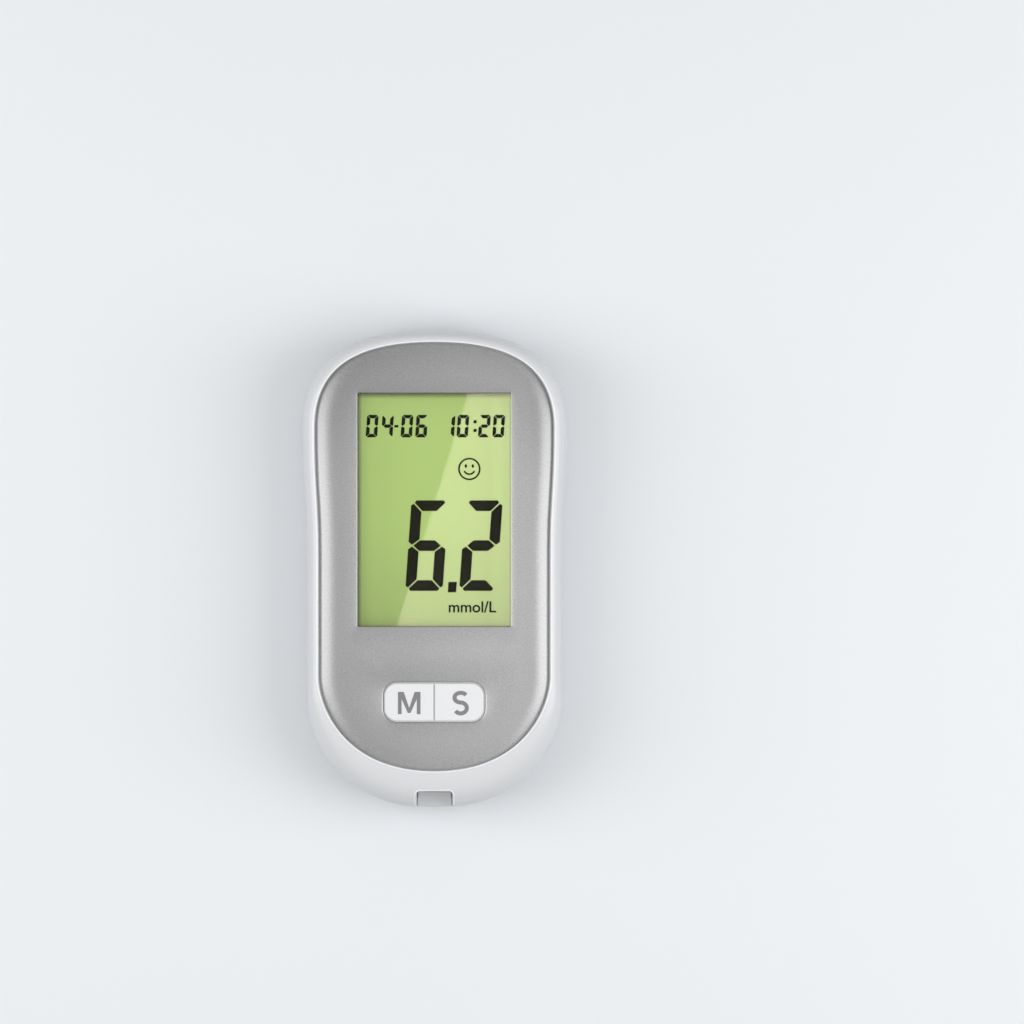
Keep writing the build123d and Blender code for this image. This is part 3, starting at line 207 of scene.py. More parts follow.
def stacked_mesh(name, stacks):
    """One mesh from several stacks, each an array (rings, points, 3) in mm that runs anticlockwise and up.

    Each stack is closed at both ends by one flat face.
    """
    places, faces, start = [], [], 0
    for stack in stacks:
        rings, points, _ = stack.shape
        near = np.arange(points)
        places.append(stack.reshape(-1, 3))
        faces += (ring_faces(rings, points) + start).tolist()
        faces += [(near[::-1] + start).tolist(), (near + start + (rings - 1) * points).tolist()]
        start += rings * points
    return mesh_from(name, np.concatenate(places), faces)


def add_piece(mesh, material, body, smooth_below=None):
    """Puts a mesh in the scene as a piece that rides on a CAD body, with the finish that it is given."""
    piece = bpy.data.objects.new(mesh.name, mesh)
    bpy.context.scene.collection.objects.link(piece)
    mesh.materials.append(material)
    if smooth_below is not None:
        mesh.polygons.foreach_set("use_smooth", np.ones(len(mesh.polygons), bool))
        mesh.set_sharp_from_angle(angle=np.radians(smooth_below))
    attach(piece, body)
    print(piece.name, len(mesh.polygons), "faces on", body)
    return piece


def rounded_box(x, y, radii):
    """A closed outline (points, 2), anticlockwise from the lower right corner.

    Each corner is a quarter circle: its centre lies one radius in from both edges, and the point at
    angle a is the centre plus radius times (cos a, sin a). radii are lower right, upper right,
    upper left and lower left.
    """
    signs = np.array([(1, -1), (1, 1), (-1, 1), (-1, -1)])
    radii = np.array(radii, float)[:, None]
    edges = np.where(signs > 0, [x[1], y[1]], [x[0], y[0]])
    centres = edges - signs * radii
    angles = np.radians(np.array([-90, 0, 90, 180])[:, None] + np.linspace(0, 90, CORNER_STEPS))
    arcs = centres[:, None] + radii[:, None] * np.stack([np.cos(angles), np.sin(angles)], -1)
    return arcs.reshape(-1, 2)


def at_height(outline, height):
    """An outline (points, 2) as a ring (points, 3) at one height, or at a height for each point."""
    return np.column_stack([outline, np.full(len(outline), height)])


def prism(outline, first, second):
    """A stack of two rings: the same outline at two heights."""
    return np.stack([at_height(outline, first), at_height(outline, second)])


# %% [markdown]
# ## Surface detail
# No moulded or painted surface is quite even. One shader group makes that unevenness for every
# material: a fine grain, which is the texture of the mould or the flakes in the paint, and a broad
# cloud, which is the slow drift of colour across a real part. Each material places the same group with
# its own values, so the detail is always at the right size. It reads Object coordinates, which stay
# with the piece when it moves.

# %% The shared surface group


def build_surface_group():
    """Grain and cloud from two noises on Object coordinates: a tone, a roughness and a height."""
    tree = bpy.data.node_groups.new("surface_detail", "ShaderNodeTree")
    for label in ("Grain Scale", "Cloud Scale", "Grain Tone", "Cloud Tone", "Roughness", "Roughness Spread"):
        tree.interface.new_socket(label, in_out="INPUT", socket_type="NodeSocketFloat")
    for label in ("Tone", "Roughness", "Height"):
        tree.interface.new_socket(label, in_out="OUTPUT", socket_type="NodeSocketFloat")
    given, result = tree.nodes.new("NodeGroupInput").outputs, tree.nodes.new("NodeGroupOutput").inputs
    where = add_node(tree, "TexCoord").outputs["Object"]

    def noise(scale_label, detail):
        """A noise between about -0.5 and 0.5."""
        inputs = {"Vector": where, "Scale": given[scale_label], "Detail": detail}
        return math_node(tree, "SUBTRACT", add_node(tree, "TexNoise", inputs).outputs["Fac"], 0.5)

    def scaled_add(signal, factor_label, base):
        """base plus signal times the factor."""
        return math_node(tree, "MULTIPLY_ADD", signal, given[factor_label], base)

    grain, cloud = noise("Grain Scale", 3.0), noise("Cloud Scale", 2.0)
    link = tree.links.new
    link(scaled_add(grain, "Grain Tone", scaled_add(cloud, "Cloud Tone", 0.5)), result["Tone"])
    link(scaled_add(grain, "Roughness Spread", given["Roughness"]), result["Roughness"])
    link(grain, result["Height"])
    return tree


surface_group = build_surface_group()
print("shader group", surface_group.name)

# %% A finish
COAT_ROUGHNESS = 0.08


def new_material(name):
    """A material, its node tree and its Principled shader."""
    material = bpy.data.materials.new(name)
    material.use_nodes = True
    return material, material.node_tree, material.node_tree.nodes["Principled BSDF"]


def recolour(material, kind, into, out_of, inputs, **settings):
    """Puts a node between a material's colour and its shader: the colour goes into one of its inputs."""
    tree = material.node_tree
    base = tree.nodes["Principled BSDF"].inputs["Base Color"]
    node = add_node(tree, kind, {**inputs, into: base.links[0].from_socket}, **settings)
    tree.links.new(node.outputs[out_of], base)
    return material


def finish(name, dark, light, roughness, grain=2500.0, cloud=40.0, grain_tone=0.2, cloud_tone=0.4,
           spread=0.1, bump=0.01, metallic=0.0, coat=0.0):
    """A material between two shades of one colour, with the surface group's tone, roughness and bump.

    bump is the depth of the grain in mm.
    """
    material, tree, shader = new_material(name)
    shader.inputs["Metallic"].default_value = metallic
    shader.inputs["Coat Weight"].default_value = coat
    shader.inputs["Coat Roughness"].default_value = COAT_ROUGHNESS
    detail = add_node(tree, "Group", {
        "Grain Scale": grain, "Cloud Scale": cloud, "Grain Tone": grain_tone, "Cloud Tone": cloud_tone,
        "Roughness": roughness, "Roughness Spread": spread,
    }, node_tree=surface_group).outputs
    shades = {"Factor": detail["Tone"], "A": srgb(*dark), "B": srgb(*light)}
    shade = add_node(tree, "Mix", shades, data_type="RGBA")
    relief = add_node(tree, "Bump", {"Distance": bump * MM, "Height": detail["Height"]})
    link = tree.links.new
    link(shade.outputs["Result"], shader.inputs["Base Color"])
    link(detail["Roughness"], shader.inputs["Roughness"])
    link(relief.outputs["Normal"], shader.inputs["Normal"])
    return material


# %% [markdown]
# ## Clear pieces
# The window is clear acrylic and the display's front sheet is glass. Real refraction shows their edges
# and reflections, but it would also throw a black shadow on the display, because a renderer rarely
# finds a lamp through a refracting slab. So rays that only ask how much light arrives pass straight
# through.

# %% Glass and acrylic


def clear(name, refraction, roughness):
    """A refracting material that lets shadow and diffuse rays pass straight through.

    A sheet with a dulling film on it gets a refraction close to that of air, because it reflects little.
    """
    material, tree, shader = new_material(name)
    shader.inputs["Transmission Weight"].default_value = 1.0
    shader.inputs["IOR"].default_value = refraction
    shader.inputs["Base Color"].default_value = (1, 1, 1, 1)
    # Faint wipe marks: the roughness drifts a little over the surface.
    detail = add_node(tree, "Group", {
        "Grain Scale": 300.0, "Roughness": roughness, "Roughness Spread": roughness,
    }, node_tree=surface_group)
    path = add_node(tree, "LightPath").outputs
    either = math_node(tree, "MAXIMUM", path["Is Shadow Ray"], path["Is Diffuse Ray"])
    through = add_node(tree, "BsdfTransparent").outputs["BSDF"]
    mix = add_node(tree, "MixShader", {"Fac": either, 1: shader.outputs["BSDF"], 2: through})
    tree.links.new(detail.outputs["Roughness"], shader.inputs["Roughness"])
    tree.links.new(mix.outputs["Shader"], tree.nodes["Material Output"].inputs["Surface"])
    return material


acrylic = clear("clear_acrylic", 1.08, 0.005)
glass = clear("clear_glass", 1.03, 0.02)
print("clear materials", acrylic.name, glass.name)

# %% [markdown]
# ## The ground of the display
# Under the figures lies a film that is half a mirror, so it shows the card above it and the dark figures
# don't. Round the film stands the display's frame, which keeps light from its edges, most of all at the
# head and on the left. That shade is painted into the film's colour, worked out from the distance to each
# edge instead of from lamps, because soft lamps would leave it too faint. Inside that painted shade the
# film's colour is painted a little lighter towards the left and the right, where the opening's walls
# shade it, and it gets darker towards the foot. The colour of the face plate gets painted shade in the
# same way: darker towards its head, its foot, its left side and most of all its right rim.

# %% A film with shaded edges
WINDOW_MARGIN = 1.3  # how far the window runs under the plate on each side
window_low, window_high = box_mm("display_window")
VIEW_X, VIEW_Y = (
    (float(window_low[axis]) + WINDOW_MARGIN, float(window_high[axis]) - WINDOW_MARGIN) for axis in (0, 1)
)
FILM_MIRROR = 2.4  # the film's refraction: 0.17 of the light from straight above comes back as from a mirror
FILM_TINT = (1.0, 0.88, 0.71, 1.0)
# painted shade at the display's edges, painted light beside its side walls, and darker towards the foot
FRAME_SHADE = {  # axis, edge, width in mm, level at the edge
    "left": (0, VIEW_X[0], 1.0, 0.26), "right": (0, VIEW_X[1], -0.5, 0.7),
    "foot": (1, VIEW_Y[0], 0.5, 0.7), "head": (1, VIEW_Y[1], -1.25, 0.24),
    "drift": (1, VIEW_Y[0], 26.0, 0.82),
    "painted light at left": (0, VIEW_X[0], 6.0, 1.2), "painted light at right": (0, VIEW_X[1], -5.0, 1.45),
}
PLATE_PAINTED_SHADE = {  # the same for the face plate: painted shade, all of it slow
    "head": (1, 46.0, -34.0, 0.72), "foot": (1, -41.0, 30.0, 0.9), "left": (0, -24.0, 40.0, 0.82),
    "right": (0, 25.5, -9.0, 0.72),
}


def build_level(name, factors):
    """A level from Object coordinates: the product of one factor for each edge.

    Beside an edge the factor is low + (1 - low) s(d / width), where d is the distance from the edge and
    s(u) = u^2 (3 - 2u). A wide factor is a slow drift.
    """
    tree = bpy.data.node_groups.new(name, "ShaderNodeTree")
    tree.interface.new_socket("Level", in_out="OUTPUT", socket_type="NodeSocketFloat")
    places = coordinates(tree)
    product = None
    for axis, edge, width, low in factors.values():
        near, far = sorted((edge, edge + width))
        levels = (low, 1.0) if width > 0 else (1.0, low)
        factor = map_range(tree, places[axis], (near * MM, far * MM), levels, "SMOOTHSTEP")
        product = factor if product is None else math_node(tree, "MULTIPLY", product, factor)
    tree.links.new(product, tree.nodes.new("NodeGroupOutput").inputs["Level"])
    return tree


def shaded(material, level_group):
    """Multiplies a finish's colour by the level that a group gives."""
    level_node = add_node(material.node_tree, "Group", node_tree=level_group)
    inputs = {"Scale": level_node.outputs["Level"]}
    return recolour(material, "VectorMath", 0, "Vector", inputs, operation="SCALE")


# The film's colour carries painted shade at its edges and painted light beside its side walls.
film = shaded(
    finish("display_ground", (172, 207, 108), (181, 214, 119), 0.016, grain=1500, cloud=25, grain_tone=0.2,
           cloud_tone=0.5, spread=0.008, bump=0.0),
    build_level("frame_shade", FRAME_SHADE),
)
film_inputs = film.node_tree.nodes["Principled BSDF"].inputs
film_inputs["IOR"].default_value = FILM_MIRROR
film_inputs["Specular Tint"].default_value = FILM_TINT
# The plate's colour carries painted shade: darker at its head, foot, left side and right rim.
silver = shaded(
    finish("plate_silver", (170, 170, 171), (213, 213, 214), 0.33, grain=4200, cloud=28, grain_tone=1.5,
           cloud_tone=0.3, spread=0.25, bump=0.008, metallic=0.6),
    build_level("plate_painted_shade", PLATE_PAINTED_SHADE),
)
print("display opening", [round(value, 2) for value in (*VIEW_X, *VIEW_Y)])

# %% [markdown]
# ## The cells
# A cell is a steel can in a printed plastic jacket, with bare metal at both ends. The can is one piece with
# one slot, so the bands come from the distance along it: a colour ramp with hard steps gives each band
# its colour, and a second one with the same steps says which bands are metal.

# %% A cell's jacket
CELL_BANDS = {  # where each starts, in mm from the minus end, its colour and how metallic it is
    "minus end": (0.0, (196, 194, 188), 1.0), "blue": (1.0, (70, 101, 138), 0.0),
    "pale": (35.0, (176, 184, 192), 0.0), "rim": (42.3, (60, 62, 66), 0.0),
    "plus end": (43.3, (200, 198, 192), 1.0),
}
JACKET_GREYS = (200, 200, 200), (235, 235, 235)  # the unevenness, which dims every band's colour a little


def band_ramp(tree, along, length, values):
    """A colour ramp that steps to each band's value where the band starts."""
    ramp = add_node(tree, "ValToRGB", {"Fac": along})
    ramp.color_ramp.interpolation = "CONSTANT"
    stops = ramp.color_ramp.elements
    while len(stops) < len(CELL_BANDS):
        stops.new(0.99)
    for stop, (start, _, _), value in zip(stops, CELL_BANDS.values(), values):
        stop.position = start / length
        stop.color = value
    return ramp.outputs["Color"]


def jacket(cell_name, plus_at_head):
    """A printed jacket between bare metal ends, from the distance along the cell."""
    low, high = box_mm(cell_name)
    start, end = (low[1], high[1]) if plus_at_head else (high[1], low[1])
    material = finish(f"{cell_name}_jacket", *JACKET_GREYS, 0.28, cloud=60, coat=0.3)
    tree = material.node_tree
    along = map_range(tree, coordinates(tree)["Y"], (start * MM, end * MM))
    colours = [srgb(*colour) for _, colour, _ in CELL_BANDS.values()]
    metals = [(metal, metal, metal, 1.0) for _, _, metal in CELL_BANDS.values()]
    colour, metal = (band_ramp(tree, along, abs(end - start), values) for values in (colours, metals))
    tree.links.new(metal, tree.nodes["Principled BSDF"].inputs["Metallic"])
    return recolour(material, "VectorMath", 1, "Vector", {0: colour}, operation="MULTIPLY")


left_jacket, right_jacket = jacket("left_cell", True), jacket("right_cell", False)
print(len(CELL_BANDS), "bands on", left_jacket.name, "and", right_jacket.name)

# %% [markdown]
# ## A finish for each CAD piece
# The CAD model says which slot each piece belongs to, such as white shell or board green. One table
# gives every slot its finish. The colours lie close together in each pair: the first is what the
# grain's hollows show, and the second is what its peaks show.

# %% The table of finishes
PLAIN_FINISHES = {  # dark, light, roughness, and what else isn't as usual
    "shell_white": ((219, 221, 224), (229, 231, 233), 0.30, {"coat": 0.25, "bump": 0.006}),
    "key_white": ((232, 233, 234), (242, 243, 244), 0.38, {"grain": 1800, "bump": 0.006}),
    "reflector_green": ((150, 175, 98), (176, 198, 124), 0.5, {"grain": 1500}),
    "holder_grey": ((120, 122, 125), (140, 142, 145), 0.5, {}),
    "gasket_foam": ((38, 38, 40), (62, 62, 64), 0.95, {"grain": 1600, "grain_tone": 1.2, "bump": 0.08}),
    "zebra_rubber": ((60, 60, 62), (96, 92, 90), 0.8, {"grain": 900}),
    "board_green": ((24, 78, 46), (40, 104, 62), 0.38, {"grain": 900, "coat": 0.4}),
    "chip_black": ((26, 26, 28), (44, 44, 46), 0.62, {"grain": 3000, "grain_tone": 0.8}),
    "component_tan": ((150, 122, 84), (182, 152, 112), 0.5, {"grain": 3000}),
    "crystal_can": ((176, 178, 180), (206, 208, 210), 0.25, {"metallic": 1.0}),
    "buzzer_black": ((22, 22, 24), (40, 40, 42), 0.5, {}),
    "switch_black": ((28, 28, 30), (48, 48, 50), 0.5, {}),
    "plunger_red": ((150, 40, 34), (182, 58, 48), 0.4, {}),
    "guide_grey": ((231, 233, 235), (240, 242, 243), 0.45, {"grain": 2200}),
    "connector_black": ((24, 24, 26), (44, 44, 46), 0.55, {}),
    "contact_gold": ((202, 164, 84), (226, 190, 112), 0.25, {"metallic": 1.0}),
    "contact_nickel": ((170, 168, 162), (202, 200, 194), 0.28, {"metallic": 1.0}),
    "spring_steel": ((160, 160, 160), (196, 196, 196), 0.25, {"metallic": 1.0}),
    "screw_steel": ((150, 150, 152), (190, 190, 192), 0.3, {"metallic": 1.0}),
    "foot_rubber": ((66, 67, 70), (92, 93, 96), 0.85, {"grain": 1500, "grain_tone": 0.8, "bump": 0.02}),
}
FINISHES = {
    slot: finish(slot, dark, light, roughness, **unusual)
    for slot, (dark, light, roughness, unusual) in PLAIN_FINISHES.items()
}
FINISHES |= {"plate_silver": silver, "window_clear": acrylic, "lcd_glass": film, "cell_jacket": left_jacket}

for node in parts.values():
    slot_name = node.data.materials[0].name.split(".")[0]
    node.material_slots[0].material = FINISHES[slot_name]
parts["right_cell"].material_slots[0].material = right_jacket  # it lies the other way round
print(len(FINISHES), "finishes on", len(parts), "nodes")

# %% [markdown]
# ## The outline of the plate
# The face plate is a pebble, and so is the crest round it: a round head, a slight waist and a round foot.
# It is made of Bezier curves, which need few numbers and join without a kink. A point of such a curve at
# share t is (1-t)^3 A + 3(1-t)^2 t B + 3(1-t) t^2 C + t^3 D.

# %% The pebble outline
PLATE_FORM = {
    "top": 45.95, "foot": -40.75, "head": 24.3, "waist": 23.5, "head_y": 28.65, "waist_y": 1.85,
    "hip_y": -21.65, "head_across": 10.5, "head_down": 15.3, "foot_across": 18.8, "foot_down": 5.4,
}
CURVE_STEPS = 48


def bezier(points):
    """Points along a cubic Bezier curve, without its last point."""
    share = np.linspace(0, 1, CURVE_STEPS, endpoint=False)[:, None]
    rest = 1 - share
    a, b, c, d = np.array(points, float)
    return rest**3 * a + 3 * rest**2 * share * b + 3 * rest * share**2 * c + share**3 * d


def pebble(inset):
    """The plate's closed outline, anticlockwise, with its edge drawn in by inset."""
    f = PLATE_FORM
    head, waist = f["head"] - inset, f["waist"] - inset
    top, foot = f["top"] - inset, f["foot"] + inset
    across = f["head_across"] * head / f["head"]
    down = f["head_down"] * (top - f["head_y"]) / (f["top"] - f["head_y"])
    foot_across = f["foot_across"] * waist / f["waist"]
    foot_down = f["foot_down"] * (foot - f["hip_y"]) / (f["foot"] - f["hip_y"])
    bend = (f["head_y"] + f["waist_y"]) / 2
    side = np.linspace([waist, f["waist_y"]], [waist, f["hip_y"]], CURVE_STEPS // 2, endpoint=False)
    right = np.concatenate([
        bezier([(0, top), (across, top), (head, f["head_y"] + down), (head, f["head_y"])]),
        bezier([(head, f["head_y"]), (head, bend), (waist, bend), (waist, f["waist_y"])]),
        side,
        bezier([(waist, f["hip_y"]), (waist, f["hip_y"] - foot_down), (foot_across, foot), (0, foot)]),
        [(0, foot)],
    ])
    left = right[1:-1][::-1] * (-1, 1)
    return np.concatenate([right, left])[::-1]


print("outline of", len(pebble(0)), "points")

# %% [markdown]
# ## The face plate
# The plate is thin metal with a silver paint, pressed so that its rim rolls down into the case. The roll
# is what catches the side light: a plain quarter round would end in a visible line, so the drop below
# the face follows (1 - u) cubed, where u runs from 0 outside to 1 at the flat, and slope and
# curvature both fade to nothing. Outside the roll is a narrow steep edge, which shows as a grey line. Both
# are deepest on the sides and shallow at the head and the foot. The flat with its two openings isn't a
# grid, so triangles fill it.

# %% A flat face with openings
ALL_TRIANGLES, JOIN_WITHIN = 0, 1e-6  # what the fill hands back, and the distance of points that it joins


def inside(points, outline):
    """Which points lie in a closed outline: a line to the right crosses its edges an odd number of times."""
    x, y = points[:, :1], points[:, 1:]
    start, end = outline, np.roll(outline, -1, 0)
    spans = (start[:, 1] > y) != (end[:, 1] > y)
    rise = np.where(end[:, 1] == start[:, 1], 1, end[:, 1] - start[:, 1])
    crossing = start[:, 0] + (end[:, 0] - start[:, 0]) * (y - start[:, 1]) / rise
    return (spans & (x < crossing)).sum(1) % 2 == 1


def flat_fill(outer, holes):
    """Triangles between an outline and its holes, as indices into all their points in order."""
    loops = [outer, *holes]
    points = np.concatenate(loops)
    starts = np.cumsum([0, *(len(loop) for loop in loops)])
    edges = [
        np.stack([np.arange(a, b), np.roll(np.arange(a, b), -1)], 1) for a, b in zip(starts[:-1], starts[1:])
    ]
    found = delaunay_2d_cdt(
        [Vector(point) for point in points], np.concatenate(edges).tolist(), [], ALL_TRIANGLES, JOIN_WITHIN
    )
    order = np.array([origin[0] for origin in found[3]])
    triangles = order[np.array(found[2])]
    middles = points[triangles].mean(1)
    kept = inside(middles, outer)
    for hole in holes:
        kept &= ~inside(middles, hole)
    return triangles[kept]


def pierced_mesh(name, wall, openings):
    """A plate: rings up its outer wall, rings down each opening, and flat fills above and below."""
    blocks = [wall, *openings]
    faces, numbers, start = [], [], 0
    for block in blocks:
        rings, points, _ = block.shape
        faces += (ring_faces(rings, points) + start).tolist()
        numbers.append(np.arange(rings * points).reshape(rings, points) + start)
        start += rings * points
    for upper in (True, False):
        ends = [-1 if upper else 0, *([0 if upper else -1] * len(openings))]
        loops = [block[end][:, :2] for block, end in zip(blocks, ends)]
        rim = np.concatenate([grid[end] for grid, end in zip(numbers, ends)])
        triangles = rim[flat_fill(loops[0], loops[1:])]
        faces += (triangles if upper else triangles[:, ::-1]).tolist()
    return mesh_from(name, np.concatenate([block.reshape(-1, 3) for block in blocks]), faces)


# %% The plate
PLATE_LOW, PLATE_TOP = 18.6, 19.8
RIM_WIDTH, RIM_DROP = 4.6, 0.62
RIM_AT_ENDS = 0.32  # the part of that drop left at the head and the foot, where the plate is flatter
RIM_EDGE, EDGE_FALL = 0.7, 0.52  # the steep edge outside the roll, across and down
EDGE_AT_ENDS = 0.3  # the part of it left at the ends
EDGE_BEND = (0.4, 0.52)  # where it bends in between, as parts of its width and of its fall
RIM_STEPS = 28
GROOVE = 0.26  # between the plate and the crest round it
VIEW_CORNER, VIEW_BEVEL = 0.35, 0.18
FLANGE_REACH = 0.8  # how far a key's flange reaches under the case
key_low, key_high = box_mm("m_key")
KEY_SPAN = -key_low[0] - FLANGE_REACH
KEY_Y = (key_low[1] + FLANGE_REACH, key_high[1] - FLANGE_REACH)
KEY_CORNER = 2.5
KEY_OPENING_GAP, KEY_OPENING_BEVEL = 0.2, 0.42
BEVEL_PROFILE = ((1.0, 0.0), (0.45, 0.18), (0.12, 0.55), (0.0, 1.0))  # out and down, for a bevel of 1

edge = pebble(0)
along = np.roll(edge, -1, 0) - np.roll(edge, 1, 0)
sideways = (along[:, 1] / np.linalg.norm(along, axis=1)) ** 2  # 1 on the sides and 0 at the ends
drop = RIM_DROP * (RIM_AT_ENDS + (1 - RIM_AT_ENDS) * sideways)
edge_share = EDGE_AT_ENDS + (1 - EDGE_AT_ENDS) * sideways


def plate_ring(inset, part, height):
    """A ring that stands in by inset, and by that part of the edge's own width, which varies round it."""
    outer, inner = pebble(inset), pebble(inset + RIM_EDGE)
    return at_height(outer + (part * edge_share)[:, None] * (inner - outer), height)


roll_foot = PLATE_TOP - drop
shares = np.linspace(0, 1, RIM_STEPS)
plate_wall = np.stack([
    plate_ring(GROOVE, 0, PLATE_LOW), plate_ring(GROOVE, 0, roll_foot - EDGE_FALL * edge_share),
    plate_ring(GROOVE, EDGE_BEND[0], roll_foot - EDGE_BEND[1] * EDGE_FALL * edge_share),
    *(plate_ring(GROOVE + RIM_WIDTH * u, 1, PLATE_TOP - drop * (1 - u) ** 3) for u in shares),
])


def grown(x, y, gap):
    """Two spans made longer by a gap at each of their ends."""
    return (x[0] - gap, x[1] + gap), (y[0] - gap, y[1] + gap)


def opening(x, y, corner, bevel):
    """Rings down an opening: its soft bevel, in three short steps, and then its wall."""
    steps = [(bevel * out, bevel * down) for out, down in BEVEL_PROFILE] + [(0.0, PLATE_TOP - PLATE_LOW)]
    return np.stack([
        at_height(rounded_box(*grown(x, y, gap), [corner + gap] * 4), PLATE_TOP - depth) for gap, depth in steps
    ])


key_x, key_y = grown((-KEY_SPAN, KEY_SPAN), KEY_Y, KEY_OPENING_GAP)
plate = add_piece(
    pierced_mesh("silver_plate", plate_wall, [
        opening(VIEW_X, VIEW_Y, VIEW_CORNER, VIEW_BEVEL),
        opening(key_x, key_y, KEY_CORNER + KEY_OPENING_GAP, KEY_OPENING_BEVEL),
    ]),
    silver, "case", smooth_below=40,
)
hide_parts("face_plate")

# %% [markdown]
# ## The crest
# The case rises to a thin polished line round the plate. On the real case it is the edge of the mould,
# rounded by a tenth or two, and it shows as a bright thread because something on it always faces the
# light. Half an ellipse carried round the pebble gives that shape. Its white is painted lighter than the
# case's own, a painted highlight on top of the light that its round catches.

# %% Crest bead
CREST_HALF, CREST_LOW, CREST_RISE = 0.23, 19.3, 0.22
CREST_MIDDLE = -0.19  # as an inset, so it lies outside the plate
HALF_TURN = np.radians(np.linspace(0, 180, 9))
section = [(CREST_MIDDLE - CREST_HALF * np.cos(a), CREST_LOW + CREST_RISE * np.sin(a)) for a in HALF_TURN]
crest_rings = np.stack([at_height(pebble(inset), height) for inset, height in section])
count = crest_rings.shape[1]
around, last = np.arange(count), (len(section) - 1) * count
after = (around + 1) % count
under = np.stack([around + last, after + last, after, around], 1)  # closes it from the last ring to the first
crest_faces = [*ring_faces(len(section), count).tolist(), *under.tolist()]
# A lighter copy of the case's white: a painted highlight on the crest and on the notch's rim.
painted_highlight_white = finish("painted_highlight_white", (242, 243, 245), (249, 249, 250), 0.2, coat=0.5, bump=0.001)
crest_mesh = mesh_from("crest_bead", crest_rings.reshape(-1, 3), crest_faces)
add_piece(crest_mesh, painted_highlight_white, "case", smooth_below=60)

# %% [markdown]
# ## The rim of the notch
# The mould leaves a fine raised rim round the notch at the foot. It lies on the case, whose front bends
# down there, so the height at each point is read from the case's own surface straight below it. The rim
# is half an ellipse carried along the notch's edge: up one side, round the corners and down the other.

# %% Notch rim
NOTCH_END, NOTCH_MOUTH = -45.15, -47.9
NOTCH_HALF, NOTCH_FLARE, NOTCH_ROUND = 3.4, 0.06, 0.4  # the flare is per mm towards the mouth
NOTCH_LEAN, NOTCH_FROM = np.tan(np.radians(2.5)), 9.8  # its walls lean outwards from this height up
NOTCH_RIM_HALF, NOTCH_RIM_RISE = 0.15, 0.08
RIM_OVERHANG, RIM_SINK = 0.02, 0.01  # how far the rim hangs over the notch and sinks into the case
PROBE = 0.1  # how far out a second height is read, for the slope

shell = parts["front_shell"].data
shell_tree = BVHTree.FromPolygons([v.co for v in shell.vertices], [face.vertices for face in shell.polygons])


def shell_heights(points):
    """How high the case's front stands at points (n, 2), in mm."""
    return np.array([shell_tree.ray_cast(Vector((x * MM, y * MM, 1)), (0, 0, -1))[0].z / MM for x, y in points])


side_y = np.linspace(NOTCH_MOUTH, NOTCH_END - NOTCH_ROUND, 16, endpoint=False)
corner_turn = np.radians(np.linspace(0, 90, 8))
corner = np.stack([np.cos(corner_turn), np.sin(corner_turn)], -1)
right_line = np.concatenate([
    np.column_stack([NOTCH_HALF + NOTCH_FLARE * (NOTCH_END - side_y), side_y]),
    corner * NOTCH_ROUND + (NOTCH_HALF - NOTCH_ROUND, NOTCH_END - NOTCH_ROUND),
])
right_outward = np.concatenate([np.tile((1.0, 0.0), (len(side_y), 1)), corner])
notch_line = np.concatenate([right_line, right_line[::-1] * (-1, 1)])
outward = np.concatenate([right_outward, right_outward[::-1] * (-1, 1)])
heights = np.full(len(notch_line), PLATE_LOW)
for _ in range(3):  # the lean depends on the height, and the height on the lean
    reach = NOTCH_RIM_HALF - RIM_OVERHANG + (heights - NOTCH_FROM) * NOTCH_LEAN
    middle = notch_line + outward * reach[:, None]
    heights = shell_heights(middle)
slope = (shell_heights(middle + outward * PROBE) - heights) / PROBE
notch_rings = np.stack([
    np.column_stack([
        middle - outward * NOTCH_RIM_HALF * np.cos(a),
        heights - slope * NOTCH_RIM_HALF * np.cos(a) + NOTCH_RIM_RISE * np.sin(a) - RIM_SINK,
    ])
    for a in HALF_TURN
], 1)
# The rim takes the crest's lighter white, a painted highlight.
add_piece(stacked_mesh("notch_rim", [notch_rings]), painted_highlight_white, "case", smooth_below=60)

# %% [markdown]
# ## The front sheet of the display
# The figures are printed by the liquid crystal between two glass sheets. In the CAD model the sheets
# touch, and a renderer can't tell which of two faces in one plane comes first. The front sheet is made
# again, a tenth of a millimetre clear of the rear one, and the figures lie in that gap. The rear sheet
# carries the film, so the film shows behind the figures.

# %% Front glass
FIGURE_LOW, FIGURE_HIGH = 16.06, 16.1
GLASS_REAR = 16.12  # where the front sheet now begins
GLASS_CORNER, GLASS_EDGE = 0.2, 0.08
glass_low, glass_high = box_mm("lcd_front_glass")


def slab(x, y, z, corner, bevel):
    """Rings of a slab with rounded corners and a bevel along both rims: inset, full, full, inset."""
    insets, heights = (bevel, 0, 0, bevel), (z[0], z[0] + bevel, z[1] - bevel, z[1])
    return np.stack([
        at_height(rounded_box(*grown(x, y, -inset), [corner] * 4), height)
        for inset, height in zip(insets, heights)
    ])


glass_x, glass_y = zip(glass_low[:2], glass_high[:2])
glass_rings = slab(glass_x, glass_y, (GLASS_REAR, glass_high[2]), GLASS_CORNER, GLASS_EDGE)
front_glass = add_piece(stacked_mesh("front_glass_sheet", [glass_rings]), glass, "case")
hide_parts("lcd_front_glass")

# %% [markdown]
# ## The figures
# A liquid crystal shows a figure as seven bars. Each bar is a flat shape with pointed or mitred ends, so
# that a narrow gap is left between neighbours. A font would round the corners and lose the gaps, so the
# bars are drawn from their own outlines and leaned over a little, as on most displays of this kind.

# %% Seven bars
BARS = {"0": "abcdef", "1": "bc", "2": "abged", "4": "fgbc", "6": "acdefg"}
LEAN = np.tan(np.radians(4.0))
display_ink = finish("display_ink", (32, 33, 24), (42, 43, 34), 0.5, grain=1500, bump=0.001)
# The figures are inside the glass and have no surface of their own to shine.
display_ink.node_tree.nodes["Principled BSDF"].inputs["Specular IOR Level"].default_value = 0.0


